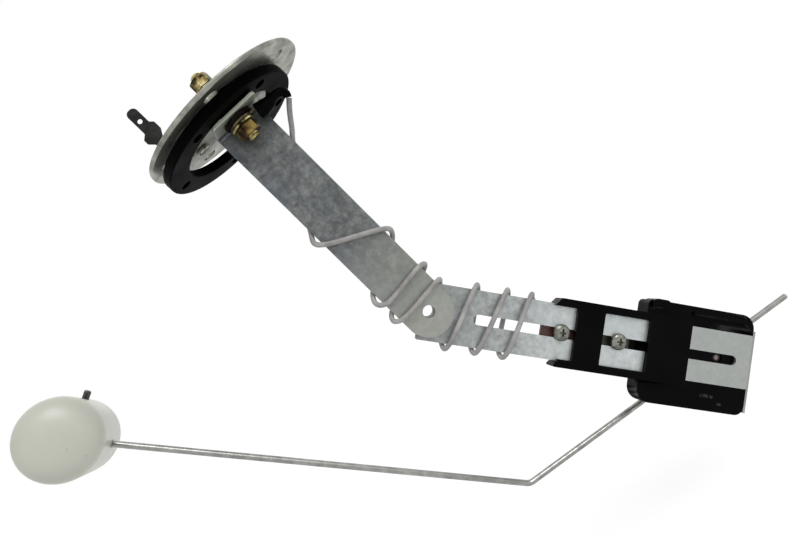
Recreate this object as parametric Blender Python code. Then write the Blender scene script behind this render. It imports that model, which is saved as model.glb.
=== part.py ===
"""Swing-arm fuel level sender.

A round tank flange carries an insulated brass stud and a folded strip arm. A slotted second arm lies against
its lower end, and a plastic sensor housing is clamped to the slot by two screws. A hub behind the housing
turns a contact finger over a curved resistor card and holds the float's wire. The lead is wound round both
arms.

Metres, +Z up out of the tank. The origin is the middle of the flange's seating face, and the arms' visible
faces look towards -Y.
"""

import math

import bmesh
import bpy
from mathutils import Matrix, Vector

MM = 0.001
GAP = 0.3 * MM

# Flange
FLANGE_RADIUS = 34.0 * MM
FLANGE_THICKNESS = 1.8 * MM
FLANGE_EDGE = 0.6 * MM
BOLT_COUNT = 5
BOLT_EDGE_DISTANCE = 6.5 * MM
BOLT_CIRCLE_RADIUS = FLANGE_RADIUS - BOLT_EDGE_DISTANCE
BOLT_HOLE_RADIUS = 2.8 * MM
BOLT_FIRST_ANGLE = math.radians(-95.6)
BOLT_CLOSE_GAP = math.radians(69.0)

# Gasket: lies loose, a little off centre and turned, with its far side drooping
GASKET_INSET = 5.4 * MM
GASKET_BAND = 8.8 * MM
GASKET_OUTER_RADIUS = FLANGE_RADIUS - GASKET_INSET
GASKET_INNER_RADIUS = GASKET_OUTER_RADIUS - GASKET_BAND
GASKET_THICKNESS = 3.6 * MM
GASKET_SHIFT = (-3.7 * MM, 0.8 * MM)
GASKET_TILT = math.radians(4.0)
GASKET_ROLL = math.radians(-1.2)
GASKET_TURN = math.radians(-20.0)
GASKET_EDGE = 0.5 * MM
GASKET_HOLE_RADIUS = 2.0 * MM
GASKET_HOLE_CIRCLE = (GASKET_OUTER_RADIUS + GASKET_INNER_RADIUS) / 2.0

# Stud, which stands just inside the gasket's hole, and what is threaded on it
STUD_INSET = 5.0 * MM
STUD_Y = GASKET_SHIFT[1] - GASKET_INNER_RADIUS + STUD_INSET
STUD_RADIUS = 2.1 * MM
STUD_BORE = STUD_RADIUS + GAP
STUD_CHAMFER = 0.5 * MM
INSULATOR_RADIUS = 5.5 * MM
INSULATOR_THICKNESS = 1.5 * MM
FOOT_INSULATOR_RADIUS = 5.6 * MM
FOOT_INSULATOR_THICKNESS = 1.2 * MM
SHOULDER_RADIUS = 3.6 * MM
STUD_HOLE_RADIUS = SHOULDER_RADIUS + GAP
SPACER_RADIUS = STUD_HOLE_RADIUS + 0.2 * MM
WASHER_RADIUS = 4.7 * MM
WASHER_THICKNESS = 0.8 * MM
TOP_NUT_FLATS = 6.4 * MM
LOWER_NUT_FLATS = 7.2 * MM
LOCK_NUT_HEIGHT = 2.2 * MM
NUT_HEIGHT = 3.6 * MM
NUT_TURN = math.radians(10.0)
STUD_STANDS_OUT = 1.5 * MM

# Ring terminal, its sleeve and the lead
RING_RADIUS = 4.4 * MM
RING_THICKNESS = 0.7 * MM
RING_TONGUE_LENGTH = 6.2 * MM
RING_TONGUE_WIDTH = 3.0 * MM
SLEEVE_RADIUS = 2.7 * MM
SLEEVE_END_RADIUS = 1.5 * MM
LEAD_RADIUS = 0.95 * MM
LEAD_STEPS = 3
LONG_RUN = 6.0 * MM

# Ground tab on the flange
TAB_THICKNESS = 0.8 * MM
TAB_EDGE_DISTANCE = 11.3 * MM
TAB_X = TAB_EDGE_DISTANCE - FLANGE_RADIUS
TAB_Y = 3.2 * MM
TAB_HEIGHT = 23.1 * MM
TAB_TIP_WIDTH = 4.2 * MM
TAB_RIGHT_SHOULDER = 3.4 * MM
TAB_LEFT_SHOULDER = 3.9 * MM
TAB_SHOULDER_HEIGHT = 15.0 * MM
TAB_NECK_WIDTH = 4.0 * MM
TAB_CORNER = 0.8 * MM
TAB_RIGHT_STEPS = (5.6 * MM, 3.4 * MM, 0.3 * MM, -0.8 * MM)
TAB_LEFT_STEPS = (6.4 * MM, 4.6 * MM, 2.8 * MM, 1.4 * MM)
TAB_HOLE_RADIUS = 0.9 * MM
TAB_HOLE_DROP = 5.2 * MM
TAB_FOOT_DEPTH = 10.0 * MM
TAB_FOOT_INSET = 0.4 * MM
TAB_FOOT_PAST_RIVET = 4.2 * MM
RIVET_FROM_TAB = 8.7 * MM
RIVET_X = TAB_X + RIVET_FROM_TAB
RIVET_RADIUS = 1.5 * MM
RIVET_HEAD_RADIUS = 2.7 * MM
RIVET_HEAD_HEIGHT = 1.3 * MM

# Strip arms: the lower one lies just behind the upper one
STRIP_THICKNESS = 1.2 * MM
UPPER_WIDTH = 18.6 * MM
ARM_BEHIND_STUD = 7.0 * MM
UPPER_FRONT_Y = STUD_Y + ARM_BEHIND_STUD
FOOT_REACH = 14.0 * MM
FOOT_CORNER = 1.5 * MM
BEND_INNER_RADIUS = 1.0 * MM
KNEE_DEPTH = 99.0 * MM
KNEE_HOLE_RADIUS = 2.3 * MM
LOWER_FRONT_Y = UPPER_FRONT_Y + STRIP_THICKNESS + GAP
LOWER_BACK_Y = LOWER_FRONT_Y + STRIP_THICKNESS
LOWER_WIDTH = 21.1 * MM
LOWER_BEFORE_KNEE = 3.2 * MM
LOWER_AFTER_KNEE = 130.2 * MM
LOWER_CORNER = 0.8 * MM
LOWER_ANGLE = math.radians(35.0)
LOWER_HOLE_SHIFT = (-0.7 * MM, 0.5 * MM)
SLOT_START = 17.1 * MM
SLOT_END = 124.2 * MM
SLOT_WIDTH = 3.8 * MM
SLOT_CENTRE = -0.2 * MM

# Clamp
CLAMP_SCREWS = (50.9 * MM, 73.9 * MM)
CLAMP_HEAD_RADIUS = 3.15 * MM
CLAMP_HEAD_HEIGHT = 2.2 * MM
CLAMP_SHANK_RADIUS = 1.4 * MM
CLAMP_PLATE_START = 43.6 * MM
CLAMP_PLATE_END = 79.4 * MM
CLAMP_PLATE_WIDTH = 11.0 * MM
CLAMP_PLATE_THICKNESS = 1.2 * MM
CLAMP_NUT_WIDTH = 6.5 * MM
CLAMP_NUT_HEIGHT = 2.2 * MM

# Sensor housing
RAIL_WALL = 1.95 * MM
LIP_OVERLAP = 1.05 * MM
FRONT_WALL = 1.5 * MM
BACK_WALL = 1.6 * MM
PLATE_BACK_Y = LOWER_BACK_Y + GAP + CLAMP_PLATE_THICKNESS
SLIDE_BACK_Y = PLATE_BACK_Y + GAP + BACK_WALL
UPPER_RAIL_START = 49.0 * MM
LOWER_RAIL_START = 48.4 * MM
RAIL_SLANT = 2.4 * MM
BACK_START = 47.0 * MM
FIRST_BAR = (56.0 * MM, 66.8 * MM)
SECOND_BAR = (85.5 * MM, 102.7 * MM)
BOX_START = 84.6 * MM
BOX_END = 130.5 * MM
BOX_TOP = 18.2 * MM
BOX_BOTTOM = -21.1 * MM
BOX_FRONT_STEP = 0.5 * MM
BOX_DEPTH = 7.3 * MM
BOX_FRONT_Y = LOWER_FRONT_Y + BOX_FRONT_STEP
BOX_BACK_Y = BOX_FRONT_Y + BOX_DEPTH
BOX_WALL = 2.2 * MM
BOX_FLOOR = 1.8 * MM
BOX_CORNER = 5.5 * MM
BUMP_LENGTH = 7.2 * MM
BUMP_FROM_BOX = 1.2 * MM
BUMP_HEIGHT = 0.5 * MM
RIB_START = 103.5 * MM
RIB_END = 126.0 * MM
RIB_HEIGHT = 0.9 * MM
RIB_WIDTH = 1.6 * MM
BOSS_RADIUS = 3.4 * MM

# Rear cover and its screws
COVER_THICKNESS = 1.0 * MM
COVER_BACK_Y = BOX_BACK_Y + GAP + COVER_THICKNESS
COVER_FLAP_BOTTOM = BOX_BOTTOM + 1.3 * MM
COVER_FLAP_TOP = BOX_TOP - 5.8 * MM
COVER_INSET = 1.0 * MM
COVER_SCREW_INSET = 5.8 * MM
COVER_SCREWS = ((BOX_START + COVER_SCREW_INSET, BOX_TOP - COVER_SCREW_INSET),
                (BOX_END - COVER_SCREW_INSET, BOX_BOTTOM + COVER_SCREW_INSET))
COVER_HEAD_RADIUS = 2.4 * MM
COVER_HEAD_HEIGHT = 1.3 * MM
COVER_SHANK_RADIUS = 1.2 * MM
COVER_SCREW_LENGTH = 4.4 * MM

# Lead tag at the housing
TAG_W = 6.5 * MM
TAG_Y = BOX_BACK_Y - 2.1 * MM
TAG_WIDTH = 4.0 * MM
TAG_THICKNESS = 0.6 * MM
TAG_REACH = 4.5 * MM

# Float wire and float: the wire runs in the hub, beside the pivot
ROD_RADIUS = 1.2 * MM
ROD_BEHIND_COVER = 6.4 * MM
ROD_Y = COVER_BACK_Y + ROD_BEHIND_COVER
ROD_OFFSET = 3.29 * MM
ROD_FIRST_ANGLE = math.radians(-12.96)
ROD_TAIL = 48.9 * MM
ROD_FIRST_LENGTH = 86.8 * MM
ROD_SECOND_ANGLE = math.radians(126.27)
ROD_SECOND_LENGTH = 170.4 * MM
ROD_BEND_RADIUS = 4.0 * MM
ROD_STUB_ANGLE = math.radians(26.0)
ROD_STUB_LENGTH = 17.9 * MM
ROD_STUB_BEND = 5.0 * MM
ROD_CLAMP_PLACES = (-7.4 * MM, 7.4 * MM)
ROD_CLAMP_HEAD_RADIUS = 2.2 * MM
ROD_CLAMP_HEAD_HEIGHT = 1.6 * MM
ROD_CLAMP_SHANK_RADIUS = 1.0 * MM
FLOAT_RADIUS = 13.85 * MM
FLOAT_LENGTH = 50.0 * MM
FLOAT_END_RADIUS = 6.0 * MM
FLOAT_LEAN = math.radians(13.6)
FLOAT_DIP = math.radians(2.6)
FLOAT_OFF_WIRE = 0.7 * MM
FLOAT_BORE = ROD_RADIUS + 0.35 * MM

# Pivot, hub and contact finger
PIVOT = 116.8 * MM
PIN_RADIUS = 1.1 * MM
PIN_HEAD_RADIUS = 1.9 * MM
PIN_HEAD_HEIGHT = 0.7 * MM
HUB_BOSS_RADIUS = 4.5 * MM
HUB_COLLAR_RADIUS = 7.0 * MM
HUB_COLLAR_HEIGHT = 2.6 * MM
HUB_WALL = 3.4 * MM
HUB_BACK_Y = ROD_Y + HUB_WALL
HUB_ROUND_RADIUS = 6.0 * MM
HUB_BLOCK_LENGTH = 23.0 * MM
CLIP_RADIUS = 3.6 * MM
CLIP_THICKNESS = 0.7 * MM
WIPER_TIP_RADIUS = 19.4 * MM
WIPER_THICKNESS = 0.4 * MM
WIPER_WIDTH = 3.0 * MM
WIPER_Y = BOX_BACK_Y - 2.9 * MM
WIPER_ANGLE = math.radians(139.0)
CARD_RADIUS = 20.0 * MM
CARD_THICKNESS = 1.1 * MM
CARD_HEIGHT = 3.4 * MM
CARD_SWEEP = (math.radians(133.0), math.radians(227.0))

# Facets
RING_FACETS = 54
HUB_FACETS = 36
SMALL_FACETS = 20
TINY_FACETS = 16


def clear_scene():
    for obj in list(bpy.data.objects):
        bpy.data.objects.remove(obj, do_unlink=True)


def make_material(name, colour, roughness, metallic):
    """A Principled material from a linear colour."""
    material = bpy.data.materials.new(name)
    material.use_nodes = True
    shader = material.node_tree.nodes["Principled BSDF"]
    shader.inputs["Base Color"].default_value = (*colour, 1.0)
    shader.inputs["Roughness"].default_value = roughness
    shader.inputs["Metallic"].default_value = metallic
    return material


def make_materials():
    """Every finish of the sender, by a short name."""
    finishes = {
        "flange_zinc": ((0.27, 0.28, 0.25), 0.42, 0.9),
        "strip_zinc": ((0.33, 0.35, 0.36), 0.45, 0.85),
        "bright_zinc": ((0.55, 0.56, 0.55), 0.35, 0.9),
        "steel_wire": ((0.50, 0.50, 0.50), 0.28, 1.0),
        "brass": ((0.62, 0.43, 0.16), 0.3, 1.0),
        "bronze": ((0.60, 0.36, 0.18), 0.35, 1.0),
        "black_rubber": ((0.012, 0.012, 0.014), 0.6, 0.0),
        "black_plastic": ((0.010, 0.010, 0.012), 0.25, 0.0),
        "dark_plating": ((0.055, 0.055, 0.055), 0.45, 0.7),
        "brown_board": ((0.10, 0.035, 0.02), 0.5, 0.0),
        "lead_grey": ((0.30, 0.29, 0.30), 0.5, 0.0),
        "float_plastic": ((0.50, 0.52, 0.45), 0.4, 0.0),
        "hub_plastic": ((0.62, 0.60, 0.52), 0.4, 0.0),
    }
    return {name: make_material(name, *values) for name, values in finishes.items()}


def link(obj, material=None, parent=None):
    bpy.context.scene.collection.objects.link(obj)
    if material is not None:
        obj.data.materials.append(material)
    obj.parent = parent
    return obj


def mesh_object(name, shape, material=None, parent=None, sharp_degrees=35.0):
    """Turns a bmesh into a smooth-shaded object."""
    bmesh.ops.remove_doubles(shape, verts=shape.verts, dist=0.001 * MM)
    bmesh.ops.recalc_face_normals(shape, faces=shape.faces)
    mesh = bpy.data.meshes.new(name)
    shape.to_mesh(mesh)
    shape.free()
    mesh.shade_smooth()
    mesh.set_sharp_from_angle(angle=math.radians(sharp_degrees))
    return link(bpy.data.objects.new(name, mesh), material, parent)


def make_empty(name, location, rotation=(0.0, 0.0, 0.0), parent=None):
    empty = bpy.data.objects.new(name, None)
    empty.empty_display_size = 0.01
    empty.location = location
    empty.rotation_euler = rotation
    return link(empty, parent=parent)


def boolean(target, tool, operation="DIFFERENCE"):
    """Cuts or joins with a hidden wire-display tool object, which keeps the target's parent."""
    tool.hide_render = True
    tool.display_type = "WIRE"
    modifier = target.modifiers.new(f"{operation.lower()}_{tool.name}", "BOOLEAN")
    modifier.operation = operation
    modifier.solver = "EXACT"
    modifier.object = tool
    return target


def bevel(target, width, segments=2, degrees=40.0):
    modifier = target.modifiers.new("edges", "BEVEL")
    modifier.width = width
    modifier.segments = segments
    modifier.limit_method = "ANGLE"
    modifier.angle_limit = math.radians(degrees)
    return target


def arc(centre, radius, start, end, facets):
    steps = [start + (end - start) * i / facets for i in range(facets + 1)]
    return [(centre[0] + radius * math.cos(a), centre[1] + radius * math.sin(a)) for a in steps]


def filleted(corners, facets=4):
    """Rounds each corner (u, v, radius) of an outline with an arc."""
    outline = []
    for i, (u, v, radius) in enumerate(corners):
        here = Vector((u, v))
        before = (Vector(corners[i - 1][:2]) - here).normalized()
        after = (Vector(corners[(i + 1) % len(corners)][:2]) - here).normalized()
        if radius <= 0.0:
            outline.append((u, v))
            continue
        half = before.angle(after) / 2.0
        start = here + before * radius / math.tan(half)
        end = here + after * radius / math.tan(half)
        middle = here + (before + after).normalized() * radius / math.sin(half)
        turn = (start - middle).angle_signed(end - middle)
        first = math.atan2(start.y - middle.y, start.x - middle.x)
        outline += arc(middle, radius, first, first - turn, facets)
    return outline


def rectangle(u0, u1, v0, v1, radius=0.0):
    return filleted([(u0, v0, radius), (u1, v0, radius), (u1, v1, radius), (u0, v1, radius)])


def slot_outline(start, end, width, centre=0.0, facets=8):
    """A long hole with round ends, along the first axis."""
    radius = width / 2.0
    right = arc((end - radius, centre), radius, -math.pi / 2, math.pi / 2, facets)
    left = arc((start + radius, centre), radius, math.pi / 2, 1.5 * math.pi, facets)
    return right + left


def extruded(outline, low, high, axis="Y"):
    """A prism on an outline: (x, z) along Y, (x, y) along Z or (y, z) along X."""
    place = {
        "X": lambda u, v, h: (h, u, v),
        "Y": lambda u, v, h: (u, h, v),
        "Z": lambda u, v, h: (u, v, h),
    }[axis]
    shape = bmesh.new()
    base = [shape.verts.new(place(u, v, low)) for u, v in outline]
    face = shape.faces.new(base)
    grown = bmesh.ops.extrude_face_region(shape, geom=[face])
    top = [item for item in grown["geom"] if isinstance(item, bmesh.types.BMVert)]
    bmesh.ops.translate(shape, verts=top, vec=Vector(place(0.0, 0.0, high - low)))
    return shape


def turned(profile, facets=SMALL_FACETS, axis="Z", centre=(0.0, 0.0)):
    """A closed solid spun from (radius, height) points about Z or Y through a centre."""
    shape = bmesh.new()
    points = [shape.verts.new((radius, 0.0, height)) for radius, height in profile]
    ring = [shape.edges.new(pair) for pair in zip(points, points[1:] + points[:1])]
    bmesh.ops.spin(shape, geom=points + ring, axis=(0, 0, 1), cent=(0, 0, 0), angle=2 * math.pi,
                   steps=facets, use_merge=True)
    bmesh.ops.remove_doubles(shape, verts=shape.verts, dist=0.001 * MM)
    bmesh.ops.dissolve_degenerate(shape, edges=shape.edges, dist=0.0001 * MM)
    on_the_axis = [edge for edge in shape.edges if not edge.link_faces]
    bmesh.ops.delete(shape, geom=on_the_axis, context="EDGES")
    if axis == "Y":
        bmesh.ops.rotate(shape, verts=shape.verts, matrix=Matrix.Rotation(-math.pi / 2, 3, "X"))
        bmesh.ops.translate(shape, verts=shape.verts, vec=(centre[0], 0.0, centre[1]))
    else:
        bmesh.ops.translate(shape, verts=shape.verts, vec=(centre[0], centre[1], 0.0))
    return shape


def disc(radius, low, high, facets=SMALL_FACETS, axis="Z", centre=(0.0, 0.0)):
    return turned([(0.0, low), (radius, low), (radius, high), (0.0, high)], facets, axis, centre)


def washer(name, outer, inner, low, high, material, edge=0.0, facets=SMALL_FACETS, centre=(0.0, 0.0)):
    """A flat ring about Z with slightly broken outer edges."""
    profile = [(inner, low), (outer - edge, low), (outer, low + edge), (outer, high - edge),
               (outer - edge, high), (inner, high)]
    return mesh_object(name, turned(profile, facets, centre=centre), material)


def hex_nut(name, low, height, flats, material):
    """A chamfered hexagon nut on the stud."""
    corner = flats / math.sqrt(3.0)
    chamfer = (corner - flats / 2.0) * 0.6
    outline = [polar(corner, NUT_TURN + math.pi * i / 3.0) for i in range(6)]
    outline = [(u, v + STUD_Y) for u, v in outline]
    nut = mesh_object(name, extruded(outline, low, low + height, "Z"), material)
    blank = turned([(0.0, low - MM), (corner - chamfer - MM, low - MM), (corner + MM, low + MM),
                    (corner + MM, low + height - MM), (corner - chamfer - MM, low + height + MM),
                    (0.0, low + height + MM)], SMALL_FACETS, centre=(0.0, STUD_Y))
    boolean(nut, mesh_object(f"{name}_blank", blank), "INTERSECT")
    bore = disc(STUD_BORE, low - MM, low + height + MM, centre=(0.0, STUD_Y))
    return boolean(nut, mesh_object(f"{name}_bore", bore))


def bolt_places(circle_radius, turn=0.0):
    """Bolt centres: the first two are closer together, so the flange fits one way round."""
    step = (2.0 * math.pi - BOLT_CLOSE_GAP) / (BOLT_COUNT - 1)
    first = BOLT_FIRST_ANGLE + turn
    angles = [first] + [first + BOLT_CLOSE_GAP + step * i for i in range(BOLT_COUNT - 1)]
    return [polar(circle_radius, angle) for angle in angles]


def gasket_middle():
    """Height of the middle of the gasket's upper face: the highest point of its edge is up at the flange."""
    upright = math.cos(GASKET_TILT) * math.cos(GASKET_ROLL)
    return -GAP - GASKET_OUTER_RADIUS * math.sin(math.acos(upright))


def gasket_underside(x, y):
    """Height of the drooping gasket's lower face at a place."""
    lower_middle = gasket_middle() - GASKET_THICKNESS / (math.cos(GASKET_TILT) * math.cos(GASKET_ROLL))
    fall_x = (x - GASKET_SHIFT[0]) * math.tan(GASKET_ROLL)
    fall_y = (y - GASKET_SHIFT[1]) * math.tan(GASKET_TILT) / math.cos(GASKET_ROLL)
    return lower_middle - fall_x - fall_y


def flange_and_gasket(materials):
    top = FLANGE_THICKNESS
    edge = FLANGE_EDGE
    profile = [(0.0, 0.0), (FLANGE_RADIUS - edge / 2, 0.0), (FLANGE_RADIUS, edge / 2),
               (FLANGE_RADIUS, top - edge), (FLANGE_RADIUS - edge * 0.3, top - edge * 0.3),
               (FLANGE_RADIUS - edge, top), (0.0, top)]
    flange = mesh_object("mounting_flange", turned(profile, RING_FACETS), materials["flange_zinc"])
    for i, place in enumerate(bolt_places(BOLT_CIRCLE_RADIUS)):
        hole = disc(BOLT_HOLE_RADIUS, -MM, top + MM, centre=place)
        boolean(flange, mesh_object(f"flange_hole_{i + 1}", hole))
    stud_hole = disc(STUD_HOLE_RADIUS, -MM, top + MM, centre=(0.0, STUD_Y))
    boolean(flange, mesh_object("flange_stud_hole", stud_hole))
    rivet_hole = disc(RIVET_RADIUS + GAP, -MM, top + MM, TINY_FACETS, centre=rivet_place())
    boolean(flange, mesh_object("flange_rivet_hole", rivet_hole))

    high = 0.0
    low = -GASKET_THICKNESS
    edge = GASKET_EDGE
    profile = [(GASKET_INNER_RADIUS + edge, low), (GASKET_OUTER_RADIUS - edge, low),
               (GASKET_OUTER_RADIUS, low + edge), (GASKET_OUTER_RADIUS, high - edge),
               (GASKET_OUTER_RADIUS - edge, high), (GASKET_INNER_RADIUS + edge, high),
               (GASKET_INNER_RADIUS, high - edge), (GASKET_INNER_RADIUS, low + edge)]
    gasket = mesh_object("flange_gasket", turned(profile, RING_FACETS), materials["black_rubber"])
    for i, place in enumerate(bolt_places(GASKET_HOLE_CIRCLE, GASKET_TURN)):
        hole = disc(GASKET_HOLE_RADIUS, low - MM, high + MM, TINY_FACETS, centre=place)
        boolean(gasket, mesh_object(f"gasket_hole_{i + 1}", hole, parent=gasket))
    gasket.location = (*GASKET_SHIFT, gasket_middle())
    gasket.rotation_euler = (-GASKET_TILT, GASKET_ROLL, 0.0)


def foot_top():
    """Height of the foot's upper face: just under the gasket, where its hole passes the foot's left side."""
    side = -UPPER_WIDTH / 2.0
    reach = side - GASKET_SHIFT[0]
    edge = GASKET_SHIFT[1] - math.sqrt(GASKET_INNER_RADIUS ** 2 - reach ** 2)
    return gasket_underside(side, edge) - GAP


def foot_bottom():
    return foot_top() - STRIP_THICKNESS


def stud_group(materials):
    """The stud with its insulators, washers and nuts, stacked up and down from the flange."""
    centre = (0.0, STUD_Y)
    seat = FLANGE_THICKNESS + GAP
    profile = [(STUD_BORE, GAP), (SHOULDER_RADIUS, GAP), (SHOULDER_RADIUS, seat), (INSULATOR_RADIUS, seat),
               (INSULATOR_RADIUS, seat + INSULATOR_THICKNESS), (STUD_BORE, seat + INSULATOR_THICKNESS)]
    mesh_object("flange_insulator", turned(profile, centre=centre), materials["black_rubber"])
    washer_low = seat + INSULATOR_THICKNESS + GAP
    washer("top_washer", WASHER_RADIUS, STUD_BORE, washer_low, washer_low + WASHER_THICKNESS,
           materials["brass"], 0.1 * MM, centre=centre)
    lock_low = washer_low + WASHER_THICKNESS + GAP
    hex_nut("lock_nut", lock_low, LOCK_NUT_HEIGHT, TOP_NUT_FLATS, materials["brass"])
    nut_low = lock_low + LOCK_NUT_HEIGHT + GAP
    hex_nut("terminal_nut", nut_low, NUT_HEIGHT, TOP_NUT_FLATS, materials["brass"])
    stud_top = nut_low + NUT_HEIGHT + STUD_STANDS_OUT

    washer("stud_spacer", SPACER_RADIUS, STUD_BORE, foot_top() + GAP, -GAP, materials["black_rubber"],
           0.3 * MM, centre=centre)
    high = foot_bottom() - GAP
    low = high - FOOT_INSULATOR_THICKNESS
    shoulder = foot_top() - GAP
    profile = [(STUD_BORE, low), (FOOT_INSULATOR_RADIUS, low), (FOOT_INSULATOR_RADIUS, high),
               (SHOULDER_RADIUS, high), (SHOULDER_RADIUS, shoulder), (STUD_BORE, shoulder)]
    mesh_object("foot_insulator", turned(profile, centre=centre), materials["black_rubber"])
    ring_high = low - GAP
    ring_low = ring_high - RING_THICKNESS
    ring_terminal(ring_low, ring_high, materials)
    washer_high = ring_low - GAP
    washer("lower_washer", WASHER_RADIUS, STUD_BORE, washer_high - WASHER_THICKNESS, washer_high,
           materials["brass"], 0.1 * MM, centre=centre)
    stud_nut_high = washer_high - WASHER_THICKNESS - GAP
    hex_nut("stud_nut", stud_nut_high - NUT_HEIGHT, NUT_HEIGHT, LOWER_NUT_FLATS, materials["brass"])
    stud_bottom = stud_nut_high - NUT_HEIGHT - STUD_STANDS_OUT
    profile = [(0.0, stud_bottom), (STUD_RADIUS - STUD_CHAMFER, stud_bottom),
               (STUD_RADIUS, stud_bottom + STUD_CHAMFER), (STUD_RADIUS, stud_top - STUD_CHAMFER),
               (STUD_RADIUS - STUD_CHAMFER, stud_top), (0.0, stud_top)]
    mesh_object("terminal_stud", turned(profile, centre=centre), materials["brass"])
    return (ring_low + ring_high) / 2.0


def ring_terminal(low, high, materials):
    """Flat ring with a tongue that goes into the sleeve."""
    half = RING_TONGUE_WIDTH / 2.0
    join = math.asin(half / RING_RADIUS)
    outline = arc((0.0, STUD_Y), RING_RADIUS, join, 2.0 * math.pi - join, 20)
    outline += [(RING_TONGUE_LENGTH, STUD_Y - half), (RING_TONGUE_LENGTH, STUD_Y + half)]
    ring = mesh_object("lead_ring_terminal", extruded(outline, low, high, "Z"), materials["bright_zinc"])
    bore = disc(STUD_BORE, low - MM, high + MM, centre=(0.0, STUD_Y))
    boolean(ring, mesh_object("ring_bore", bore))


def rivet_place():
    """The ground rivet sits in the middle of the tab's foot."""
    return (RIVET_X, TAB_Y + TAB_THICKNESS + TAB_FOOT_DEPTH / 2.0)


def ground_tab(materials):
    """A stamped tab: a foot under the rivet, folded up into a blade with a shoulder and a narrow tip."""
    low = FLANGE_THICKNESS + GAP
    tip_z = FLANGE_THICKNESS + TAB_HEIGHT
    shoulder_z = FLANGE_THICKNESS + TAB_SHOULDER_HEIGHT
    tip = TAB_TIP_WIDTH / 2.0
    neck = TAB_NECK_WIDTH / 2.0

    def blade_side(way, shoulder, steps):
        """Corners of one side of the blade from its neck up; way is +1 or -1."""
        widths = (neck, shoulder, shoulder, tip)
        return [(TAB_X + way * width, shoulder_z - step, TAB_CORNER) for width, step in zip(widths, steps)]

    right = blade_side(1.0, TAB_RIGHT_SHOULDER, TAB_RIGHT_STEPS)
    left = blade_side(-1.0, TAB_LEFT_SHOULDER, TAB_LEFT_STEPS)
    blade_outline = filleted([
        (TAB_X - neck, low, 0.0), (TAB_X + neck, low, 0.0), *right, (TAB_X + tip, tip_z, tip * 0.85),
        (TAB_X - tip, tip_z, tip * 0.85), *reversed(left)])
    blade = extruded(blade_outline, TAB_Y, TAB_Y + TAB_THICKNESS)
    tab = mesh_object("ground_spade", blade, materials["dark_plating"])
    rivet_x, rivet_y = rivet_place()
    foot_end = TAB_Y + TAB_THICKNESS + TAB_FOOT_DEPTH
    foot_start = TAB_X - neck + TAB_FOOT_INSET
    foot_side = rivet_x + TAB_FOOT_PAST_RIVET
    front = TAB_Y + TAB_THICKNESS / 2.0
    foot_outline = filleted([(foot_start, front, 0.0), (foot_side, front, 1.0 * MM),
                             (foot_side, foot_end, 3.0 * MM), (foot_start, foot_end, 2.0 * MM)])
    foot = mesh_object("tab_foot", extruded(foot_outline, low, low + TAB_THICKNESS, "Z"))
    boolean(tab, foot, "UNION")
    hole = disc(RIVET_RADIUS + GAP, low - MM, low + 2 * MM, TINY_FACETS, centre=(rivet_x, rivet_y))
    boolean(tab, mesh_object("tab_rivet_hole", hole))
    blade_hole = disc(TAB_HOLE_RADIUS, TAB_Y - MM, TAB_Y + 2 * MM, TINY_FACETS, "Y",
                      (TAB_X - 0.1 * MM, tip_z - TAB_HOLE_DROP))
    boolean(tab, mesh_object("tab_blade_hole", blade_hole))

    head = low + TAB_THICKNESS + GAP
    round_in = RIVET_HEAD_HEIGHT * 0.45
    profile = [(0.0, -GAP - RIVET_HEAD_HEIGHT), (RIVET_HEAD_RADIUS - round_in, -GAP - RIVET_HEAD_HEIGHT),
               (RIVET_HEAD_RADIUS, -GAP - RIVET_HEAD_HEIGHT + round_in), (RIVET_HEAD_RADIUS, -GAP),
               (RIVET_RADIUS, -GAP), (RIVET_RADIUS, head), (RIVET_HEAD_RADIUS, head),
               (RIVET_HEAD_RADIUS, head + RIVET_HEAD_HEIGHT - round_in),
               (RIVET_HEAD_RADIUS - round_in, head + RIVET_HEAD_HEIGHT), (0.0, head + RIVET_HEAD_HEIGHT)]
    mesh_object("ground_rivet", turned(profile, TINY_FACETS, centre=(rivet_x, rivet_y)),
                materials["bright_zinc"])


def fold_point(across, along, through):
    """Places a point of the flat upper arm: along is measured up from the knee, and the foot folds to -Y."""
    outer = BEND_INNER_RADIUS + STRIP_THICKNESS
    bend_z = foot_top() - outer
    bend_y = UPPER_FRONT_Y - BEND_INNER_RADIUS
    neutral = BEND_INNER_RADIUS + STRIP_THICKNESS / 2.0
    straight = KNEE_DEPTH + bend_z
    bend_length = neutral * math.pi / 2.0
    if along <= straight:
        return (across, UPPER_FRONT_Y + through, along - KNEE_DEPTH)
    radius = BEND_INNER_RADIUS + through
    if along <= straight + bend_length:
        angle = (along - straight) / neutral
        return (across, bend_y + radius * math.cos(angle), bend_z + radius * math.sin(angle))
    past = along - straight - bend_length
    return (across, bend_y - past, bend_z + radius)


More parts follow.
